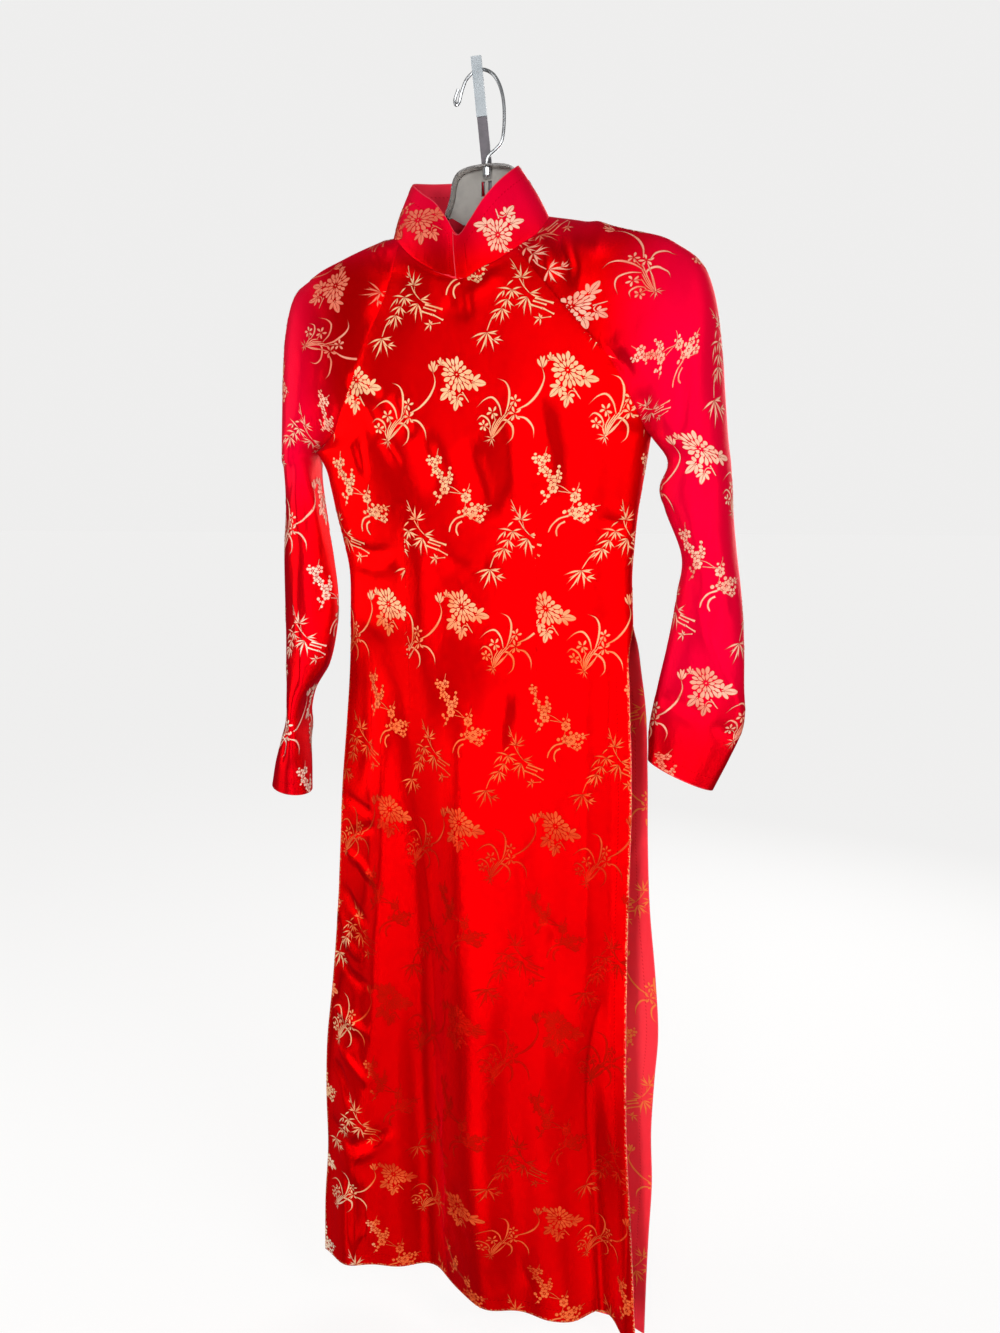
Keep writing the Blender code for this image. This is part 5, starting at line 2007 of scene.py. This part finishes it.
@dataclass
class Dress:
    """The five cut pieces of the dress with their woven sprigs."""
    form: DressForm
    parts: ShaderParts
    front_creases: tuple[Crease, ...] = (
        # by the collar, left
        Crease(((-120, -189), (-110, -174), (-93, -181)), 10, 3.6),
        Crease(((-138, -196), (-112, -200), (-89, -207), (-48, -219)), 8, -2.0),
        Crease(((-86, -206), (-102, -231), (-120, -257)), 9, -2.2),
        Crease(((39, -189), (19, -201), (-4, -218)), 6, -3.5),
        Crease(((31, -210), (11, -226), (-12, -238)), 8, 2.6),
        Crease(((-84, -170), (-62, -188), (-38, -200), (-14, -204)), 3.4, 3.4, 1.3, 0.15),
        Crease(((-86, -178), (-62, -197), (-38, -210), (-10, -214)), 4.0, -3.0, 1.8, 0.15),
        # beside the collar, right
        Crease(((66, -172), (74, -196), (80, -222)), 8, 4.5),
        Crease(((112, -152), (124, -176), (130, -206)), 10, 3.6),
        Crease(((78, -164), (90, -193), (103, -228)), 6, -6.4, 1.6),
        Crease(((96, -171), (109, -206), (112, -244)), 9, 3.2),
        # chest
        Crease(((-37, -239), (-19, -248), (1, -247)), 9, -2.6),
        Crease(((57, -325), (71, -361), (79, -396), (83, -462)), 15, -5.4),
        Crease(((30, -340), (42, -380), (50, -452)), 16, 4.4),
        Crease(((-64, -368), (-50, -401), (-36, -440)), 12, -4.4),
        Crease(((-13, -375), (4, -419), (17, -465)), 14, -4.0),
        # drag lines from the left underarm
        Crease(((-147, -304), (-127, -322), (-101, -333)), 7, -3.5),
        Crease(((-140, -325), (-118, -345), (-102, -377)), 6, 2.9),
        Crease(((-136, -370), (-132, -392), (-129, -417)), 3.6, -3.2, 1.6),
        Crease(((-107, -373), (-96, -390), (-83, -407)), 4, -3.2, 1.6),
        Crease(((-94, -327), (-81, -355), (-71, -380)), 7, -3.5),
        # drag lines from the right underarm
        Crease(((136, -294), (155, -307), (169, -322)), 6, -3.5),
        Crease(((142, -283), (160, -295), (174, -315)), 5, 3.2, 1.6),
        Crease(((170, -332), (176, -351), (175, -376)), 5, -3.8),
        Crease(((129, -323), (147, -339), (162, -356)), 7, -2.9),
        # waist
        Crease(((-160, -491), (-127, -499), (-92, -494)), 6, -2.6),
        Crease(((-159, -508), (-123, -518), (-88, -513)), 7, 2.2),
        Crease(((128, -458), (147, -468), (163, -466)), 6, -2.6),
        Crease(((-42, -505), (-8, -516), (26, -509)), 8, -1.9),
        # skirt
        Crease(((-80, -560), (-82, -700), (-84, -900), (-86, -1100), (-82, -1300), (-78, -1500)),
               24, -8.0, 2.0, 0.2),
        Crease(((-144, -591), (-144, -670), (-145, -731), (-159, -810)), 9, -4.0),
        Crease(((-120, -640), (-123, -850), (-132, -950), (-140, -1080), (-156, -1200),
                (-162, -1300)), 12, 5.0, 2.0, 0.25),
        Crease(((-22, -610), (-24, -800), (-25, -900), (-24, -1100), (-20, -1300), (-14, -1420)),
               22, 7.0, 2.0, 0.25),
        Crease(((-4, -640), (-2, -800), (-3, -1000), (-2, -1200), (2, -1420)), 46, 8.5, 2.0, 0.2),
        Crease(((36, -642), (26, -689), (24, -728)), 10, -3.0),
        Crease(((53, -780), (54, -900), (52, -1030)), 8, -2.0, 1.8),
        Crease(((88, -600), (90, -900), (92, -1200), (96, -1500)), 36, -3.5, 2.0, 0.2),
        Crease(((112, -640), (118, -850), (120, -1050), (118, -1300)), 12, 2.4, 2.0, 0.25),
        Crease(((142, -540), (150, -800), (152, -1000), (156, -1200), (160, -1500)), 16, -6.0, 2.0,
               0.15),
        # left edge
        Crease(((-180, -783), (-168, -794), (-135, -807)), 5, -3.0, 1.7),
        Crease(((-183, -841), (-162, -831), (-129, -816)), 5, -2.6, 1.7),
        Crease(((-183, -858), (-156, -867), (-130, -891)), 5, 3.0, 1.7),
        Crease(((-187, -896), (-169, -923), (-139, -947)), 6, -3.0, 1.7),
        Crease(((-190, -929), (-178, -969), (-147, -993)), 6, 2.6, 1.7),
        Crease(((-194, -987), (-171, -1010), (-134, -1022)), 6, -3.0, 1.7),
        Crease(((-202, -1053), (-173, -1067), (-136, -1082)), 6, 3.0, 1.7),
        Crease(((-190, -1099), (-170, -1119), (-142, -1148)), 4.5, 3.6, 1.5),
        Crease(((-197, -1122), (-177, -1151), (-167, -1184)), 5, -3.6, 1.6),
        Crease(((-204, -1202), (-170, -1230), (-146, -1221), (-116, -1190)), 7, -4.0, 1.5),
        Crease(((-168, -1250), (-144, -1233), (-114, -1205)), 6, 3.0, 1.6),
        Crease(((-187, -1254), (-168, -1291), (-167, -1334), (-168, -1375)), 5, -4.0, 1.4),
        Crease(((-151, -1254), (-150, -1314), (-146, -1376)), 8, 3.0),
        # the lapped fold in the lower skirt
        Crease(((-38, -1118), (-39, -1187), (-31, -1251), (-41, -1315), (-25, -1349), (1, -1376)),
                6, 5.5, 1.1),
        Crease(((-15, -1221), (-13, -1292), (0, -1332)), 6, -3.4, 1.6),
        Crease(((13, -1332), (23, -1349), (31, -1367)), 4, -2.0, 1.6),
        Crease(((45, -1299), (52, -1333), (70, -1362)), 5, -1.8, 1.6),
        Crease(((70, -910), (82, -905), (90, -921), (81, -938)), 4, -1.6, 1.6),
        # left sleeve
        Crease(((-218, -491), (-223, -554), (-218, -619), (-216, -660), (-233, -697)), 7, 4.2, 1.0),
        Crease(((-197, -514), (-193, -554), (-194, -593)), 8, -4.0),
        Crease(((-208, -414), (-208, -457), (-207, -487)), 5, -3.6, 1.8),
        Crease(((-208, -393), (-201, -440), (-196, -474), (-191, -504)), 5, 3.6, 1.6),
        Crease(((-215, -363), (-220, -407), (-231, -444)), 5, -2.6, 1.8),
        Crease(((-176, -341), (-186, -358), (-197, -378)), 5, -3.4, 1.8),
        Crease(((-163, -331), (-172, -353), (-187, -374)), 4, 2.0, 1.8),
        Crease(((-234, -694), (-243, -726), (-252, -755)), 4, -3.2, 1.5),
        Crease(((-226, -690), (-231, -725), (-236, -756)), 5, 2.2, 1.8),
        Crease(((-190, -602), (-199, -632), (-219, -664)), 4, -2.0, 1.8),
        Crease(((-202, -256), (-206, -310), (-211, -357)), 9, 1.6),
        Crease(((-177, -254), (-180, -290), (-189, -328)), 8, -1.6),
        # right sleeve
        Crease(((219, -278), (218, -326), (216, -354), (212, -383), (204, -405)), 4, -2.6, 1.2),
        Crease(((226, -278), (226, -345), (219, -395)), 8, 2.2),
        Crease(((174, -327), (184, -358), (194, -386)), 5, -3.0, 1.6),
        Crease(((183, -323), (193, -346), (200, -375)), 5, 3.0, 1.6),
        Crease(((233, -541), (243, -579), (254, -605), (268, -631), (277, -659), (278, -686)),
                8, 5.0, 1.0),
        Crease(((191, -647), (213, -653), (236, -664), (255, -672)), 5, -2.6, 1.6),
        Crease(((191, -660), (216, -664), (239, -676)), 6, 2.2),
        Crease(((253, -672), (266, -685), (278, -690)), 6, -4.0, 1.3),
        Crease(((264, -535), (270, -548), (267, -561)), 3.4, -1.6, 1.5),
        Crease(((216, -499), (227, -518), (235, -541)), 5, -2.2, 1.6),
        Crease(((201, -444), (210, -464), (220, -488)), 5, -2.2, 1.6),
        Crease(((233, -413), (238, -472), (242, -533)), 8, -1.8),
        Crease(((240, -246), (244, -305), (246, -363)), 8, -1.4))
    back_creases: tuple[Crease, ...] = (
        # under the collar and over the shoulder blades
        Crease(((-62, -172), (-70, -200), (-88, -232)), 7, -2.4),
        Crease(((40, -170), (52, -204), (74, -240)), 7, -2.6),
        Crease(((-30, -196), (2, -204), (34, -198)), 8, -1.6),
        Crease(((-108, -214), (-124, -252), (-130, -290)), 9, 2.2),
        Crease(((112, -220), (128, -262), (134, -300)), 8, -2.2),
        # drag lines from the underarms
        Crease(((-168, -330), (-140, -352), (-108, -362)), 7, -2.4),
        Crease(((-160, -356), (-132, -384), (-118, -420)), 5, -2.0, 1.6),
        Crease(((-150, -338), (-124, -366), (-104, -402)), 6, 1.8),
        Crease(((158, -326), (132, -346), (104, -352)), 6, -2.2),
        Crease(((150, -350), (126, -380), (114, -418)), 5, 2.0, 1.6),
        Crease(((142, -366), (116, -396), (104, -440)), 6, -2.2),
        # waist
        Crease(((-156, -484), (-120, -496), (-84, -488)), 6, -1.8),
        Crease(((-60, -512), (-10, -520), (38, -510)), 8, -1.4),
        Crease(((152, -470), (118, -482), (88, -476)), 6, -1.8),
        Crease(((-150, -520), (-112, -530), (-70, -524)), 7, 1.4),
        Crease(((-40, -360), (-34, -420), (-44, -470)), 9, -2.0),
        Crease(((58, -340), (64, -400), (60, -455)), 9, -2.2),
        # skirt
        Crease(((-120, -640), (-124, -800), (-130, -1000), (-128, -1180)), 13, -5.0),
        Crease(((-76, -680), (-72, -860), (-80, -1080), (-78, -1300)), 14, 4.0),
        Crease(((-20, -620), (-26, -780), (-18, -980), (-24, -1240)), 13, -5.5),
        Crease(((44, -660), (50, -900), (42, -1120), (48, -1360)), 15, 4.0),
        Crease(((98, -600), (104, -760), (98, -1000), (106, -1280)), 12, -5.0),
        Crease(((150, -700), (156, -900), (150, -1100)), 9, 3.0),
        Crease(((-168, -860), (-150, -890), (-140, -940)), 6, -2.6, 1.6),
        Crease(((-176, -1030), (-156, -1060), (-138, -1110)), 6, 2.6, 1.6),
        Crease(((-60, -1180), (-54, -1280), (-66, -1390)), 7, 4.0, 1.2),
        Crease(((128, -1140), (120, -1240), (132, -1380)), 8, -3.6),
        Crease(((170, -820), (160, -850), (148, -860)), 5, -2.2, 1.6),
        # backs of the sleeves
        Crease(((-220, -300), (-214, -350), (-216, -400)), 8, -2.0),
        Crease(((-196, -470), (-214, -500), (-228, -540)), 6, -3.2, 1.6),
        Crease(((-240, -520), (-226, -560), (-214, -590)), 6, 3.0, 1.4),
        Crease(((-204, -600), (-226, -630), (-240, -670)), 6, -2.8, 1.6),
        Crease(((-234, -690), (-246, -720), (-256, -752)), 5, 2.4, 1.8),
        Crease(((206, -300), (216, -350), (214, -400)), 8, -2.0),
        Crease(((206, -430), (222, -462), (240, -490)), 6, -3.0, 1.6),
        Crease(((262, -500), (246, -540), (232, -580)), 7, 3.4, 1.2),
        Crease(((206, -600), (232, -626), (262, -640)), 6, -3.0, 1.6),
        Crease(((200, -650), (230, -668), (256, -700)), 6, 2.4))
    # flat place of one bamboo sprig on each piece
    origins: dict[str, Pair] = field(default_factory=lambda: {
        "front_panel": (53.0, 248.0), "back_panel": (30.0, 200.0), "sleeve_left": (-10.0, 17.0),
        "sleeve_right": (-44.0, 14.0)})
    # the collar is cut across the weave's repeat, so its sprigs are listed one by one
    collar_sprigs: tuple[tuple[Motif, float, float, float], ...] = (
        (Motif.CHRYSANTHEMUM, 147.0, 22.0, 82.0), (Motif.CHRYSANTHEMUM, -160.0, 36.0, 112.0),
        (Motif.ORCHID, -60.0, 14.0, 180.0), (Motif.BAMBOO, -30.0, 44.0, 178.0),
        (Motif.CHRYSANTHEMUM, 36.0, 20.0, 180.0), (Motif.PLUM, 88.0, 36.0, 182.0))
    # painted light: how lit the gold is painted, by height on each piece
    painted_shines: dict[str, tuple[Pair, ...]] = field(default_factory=lambda: {
        "front_panel": ((-150, 0.95), (-420, 0.92), (-520, 0.8), (-610, 0.58), (-690, 0.44),
                        (-790, 0.3), (-880, 0.13), (-960, 0.06), (-1120, 0.04), (-1210, 0.2),
                        (-1290, 0.34), (-1420, 0.44)),
        "back_panel": ((-150, 0.9), (-600, 0.8), (-1000, 0.55), (-1412, 0.6)),
        "sleeve_left": ((-150, 0.4), (-290, 0.6), (-420, 1.0), (-540, 1.3), (-800, 1.6)),
        "sleeve_right": ((-150, 0.6), (-260, 0.74), (-420, 0.9), (-640, 0.72), (-760, 0.5)),
        "collar": ((-98, 0.9), (-220, 0.9))})
    # painted glint: the gold shines low on the skirt's left edge, from this x and z and over these
    # distances
    glint: float = 0.9
    glint_from: Pair = (-135.0, -800.0)
    glint_over: Pair = (40.0, 200.0)
    # and painted shade darkens it on the collar's left, from this x and over this distance
    shade: float = 0.5
    shade_from: float = -14.0
    shade_over: float = 6.0

    def lustre(self, name: str, place: Vector) -> float:
        """Work out the gold's painted shine, its painted light, at one place.

        Args:
            name: The piece.
            place: The place.

        Returns:
            The painted shine.
        """
        keys, values = zip(*self.painted_shines[name])
        value = float(np.interp(-place.z, [-key for key in keys], values))
        if name == "front_panel":
            value += (self.glint * clamp((self.glint_from[0] - place.x) / self.glint_over[0])
                      * clamp((self.glint_from[1] - place.z) / self.glint_over[1]))
        elif name == "collar":
            value -= self.shade * clamp((self.shade_from - place.x) / self.shade_over)
        return value

    def build(self) -> None:
        """Make every cloth piece and its sprigs, and log the size of each."""
        body = SilkFinish("red_brocade_body", flecks=1.0).build(self.parts)
        plain = SilkFinish("red_brocade_plain_edges").build(self.parts)
        # the wrong side's bright pink red is partly the back of the weave and partly painted light,
        # lifted to stand in for light shining through the thin cloth
        wrong = SilkFinish("brocade_wrong_side", lit=(1.0, 0.045, 0.065),
                           deep=(0.95, 0.03, 0.05), painted_sheen_colour=(0.98, 0.03, 0.07),
                           metallic=0.1, roughness=0.56).build(self.parts)
        gold = GoldFinish("gold_weft").build(self.parts)
        # the sleeves' and collar's gold is pinker: a painted pink sheen like the one on their red
        pink_sheen_gold = GoldFinish("gold_weft_pink_sheen", bright=(0.98, 0.55, 0.40),
                          middle=(0.92, 0.19, 0.11), shaded_gold=(0.66, 0.05, 0.03)).build(self.parts)
        floats = GoldFinish("gold_floats_behind", bright=(1.0, 0.32, 0.07),
                            middle=(1.0, 0.24, 0.06), shaded_gold=(0.98, 0.16, 0.05),
                            edge_shadow=(0.90, 0.08, 0.05), roughness=0.6).build(self.parts)
        pieces = (
            (Panel(self.form, "front_panel", True), body, gold, 0.8),
            (Panel(self.form, "back_panel", False), body, gold, 0.8),
            (Sleeve(self.form, "sleeve_left", True), plain, pink_sheen_gold, 0.8),
            (Sleeve(self.form, "sleeve_right", False), plain, pink_sheen_gold, 0.8),
            (Collar(self.form), plain, pink_sheen_gold, 1.0))
        for piece, silk, weft, wall in pieces:
            name = piece.name
            cut = piece.cut()
            if name == "collar":
                places = self.collar_sprigs
            else:
                cut.crease(self.front_creases, Side.FRONT)
                cut.crease(self.back_creases, Side.BACK)
                places = Brocade().sprigs(cut, self.origins[name])
            cut.groove(0.12, 1.7)
            shell = Shell(name + "_cloth", cut, wall)
            cloth = shell.build(silk, wrong)
            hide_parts(name)
            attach(cloth, BODY)
            lustre = partial(self.lustre, name)
            woven = [GoldWeft(name + "_sprigs", shell, places, lustre).build(weft)]
            if name.endswith("panel"):
                woven.append(GoldWeft(name + "_floats", shell, places, lustre, inner=True,
                                      top=self.form.slit_top).build(floats))
            for sprigs in woven:
                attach(sprigs, BODY)
            low, high = cut.flat.reshape(-1, 2).min(axis=0), cut.flat.reshape(-1, 2).max(axis=0)
            width, length = (float(value) * MM for value in high - low)
            cut.area()
            LOG.info("%s: %d faces of cloth, %s of sprigs, cut %.3f x %.3f m, %.3f m2", name,
                     len(cloth.data.polygons), [len(one.data.polygons) for one in woven], width,
                     length, cut.area())


@dataclass
class Hanger:
    """The metal hanger, whose parts keep their solids and take finishes."""
    parts: ShaderParts

    def dress(self, frame: dict) -> None:
        """Give every node of the hanger its finish.

        Args:
            frame: The loaded frame.
        """
        chrome = HardFinish("chrome", (0.58, 0.60, 0.62), (0.50, 0.51, 0.52), 0.9, 0.24, 0.34,
                            0.002)
        steel = HardFinish("grey_steel", (0.40, 0.38, 0.35), (0.34, 0.325, 0.30), 0.35, 0.46,
                           0.56)
        bar = HardFinish("mauve_steel", (0.19, 0.17, 0.19), (0.15, 0.14, 0.15), 0.5, 0.4, 0.5)
        plastic = HardFinish("pale_plastic", (0.46, 0.50, 0.53), (0.39, 0.43, 0.46), 0.0, 0.42,
                             0.55)
        # painted reflection: the rim's chrome is darker and warmer to stand in for the dark
        # surroundings it mirrors
        rim = HardFinish("chrome_with_painted_reflection", (0.52, 0.49, 0.48), (0.40, 0.38, 0.37), 0.95, 0.2, 0.32,
                         0.002)
        finishes = {
            chrome: ("hanger_hook", "hanger_ferrule"),
            rim: ("hanger_rim",),
            steel: ("hanger_plate", "hanger_arm_left", "hanger_arm_right"),
            bar: ("hanger_bar",),
            plastic: ("hanger_bar_grip",)}
        for finish, names in finishes.items():
            material = finish.build(self.parts)
            for name in names:
                for slot in frame["nodes"][name].material_slots:
                    slot.material = material
                LOG.info("%s: %s", name, finish.name)


class Lamp(NamedTuple):
    """A soft light."""
    name: str
    place: tuple[float, float, float]
    target: tuple[float, float, float]
    width: float
    height: float
    power: float


@dataclass
class Studio:
    """The floor, the lights, the pale surroundings and the camera."""
    floor_z: float = -1.475
    camera_place: tuple[float, float, float] = (0.349547, -1.067365, -0.459137)
    camera_turn: tuple[float, float, float] = (81.5, 0.0, 17.0)
    lens: float = 27.03
    sensor: float = 36.0
    lamps: tuple[Lamp, ...] = (
        Lamp("window", (0.1, -2.0, -1.08), (0.0, 0.0, -1.0), 0.22, 1.0, 19.0),
        Lamp("above", (0.3, -2.0, 0.3), (0.05, 0.0, -0.3), 1.4, 0.5, 12.0),
        Lamp("left", (-1.8, -0.7, -0.42), (-0.2, 0.0, -0.5), 0.5, 0.9, 17.0),
        Lamp("side", (1.3, -1.1, 0.1), (0.15, 0.05, -0.3), 0.5, 0.8, 9.0),
        Lamp("right", (1.7, -0.9, -0.95), (0.2, 0.05, -0.95), 0.3, 1.2, 11.0),
        Lamp("behind", (0.4, 1.7, 0.0), (0.0, 0.0, -0.7), 1.4, 1.6, 22.0))
    seen: float = 0.86  # brightness of the surroundings where they are seen
    felt: float = 0.15  # and as they light the dress
    reach: float = 60.0  # of the floor each way

    def build(self) -> None:
        """Set the stage."""
        self.add_floor()
        self.add_lamps()
        self.add_surroundings()
        self.add_camera()

    def add_floor(self) -> None:
        """Lay the floor."""
        mesh = bpy.data.meshes.new("floor")
        mesh.from_pydata([(self.reach * x, self.reach * y, self.floor_z)
                          for x, y in ((-1, -1), (1, -1), (1, 1), (-1, 1))], [], [(0, 1, 2, 3)])
        mesh.materials.append(FloorFinish().build())
        add_object("floor", mesh)

    def add_lamps(self) -> None:
        """Hang the lamps."""
        for lamp in self.lamps:
            light = bpy.data.lights.new(lamp.name, "AREA")
            light.shape = "RECTANGLE"
            light.size, light.size_y, light.energy = lamp.width, lamp.height, lamp.power
            holder = add_object(lamp.name, light)
            holder.location = lamp.place
            way = Vector(lamp.target) - Vector(lamp.place)
            holder.rotation_euler = way.to_track_quat("-Z", "Y").to_euler()

    def add_surroundings(self) -> None:
        """Make the pale surroundings."""
        world = bpy.data.worlds.new("surroundings")
        world.use_nodes = True
        tree = Tree(world.node_tree)
        seen = tree.node("ShaderNodeLightPath").outputs["Is Camera Ray"]
        tree.fill(world.node_tree.nodes["Background"], Color=DAYLIGHT,
                  Strength=tree.scaled(seen, self.seen - self.felt, self.felt))
        bpy.context.scene.world = world
        bpy.context.scene.view_settings.view_transform = "Standard"

    def add_camera(self) -> None:
        """Place the camera."""
        camera = bpy.data.cameras.new("camera")
        camera.lens = self.lens
        camera.sensor_width = self.sensor
        camera.clip_start = 0.02
        holder = add_object("camera", camera)
        holder.location = self.camera_place
        holder.rotation_euler = Euler(tuple(math.radians(turn) for turn in self.camera_turn))
        bpy.context.scene.camera = holder


def main() -> None:
    """Load the frame, build the dress, the hanger and the studio, and note the sizes."""
    logging.basicConfig(level=logging.INFO, format="%(name)s: %(message)s")
    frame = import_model()
    parts = ShaderParts()
    Dress(DressForm(), parts).build()
    Hanger(parts).dress(frame)
    Studio().build()


if __name__ == "__main__":
    main()
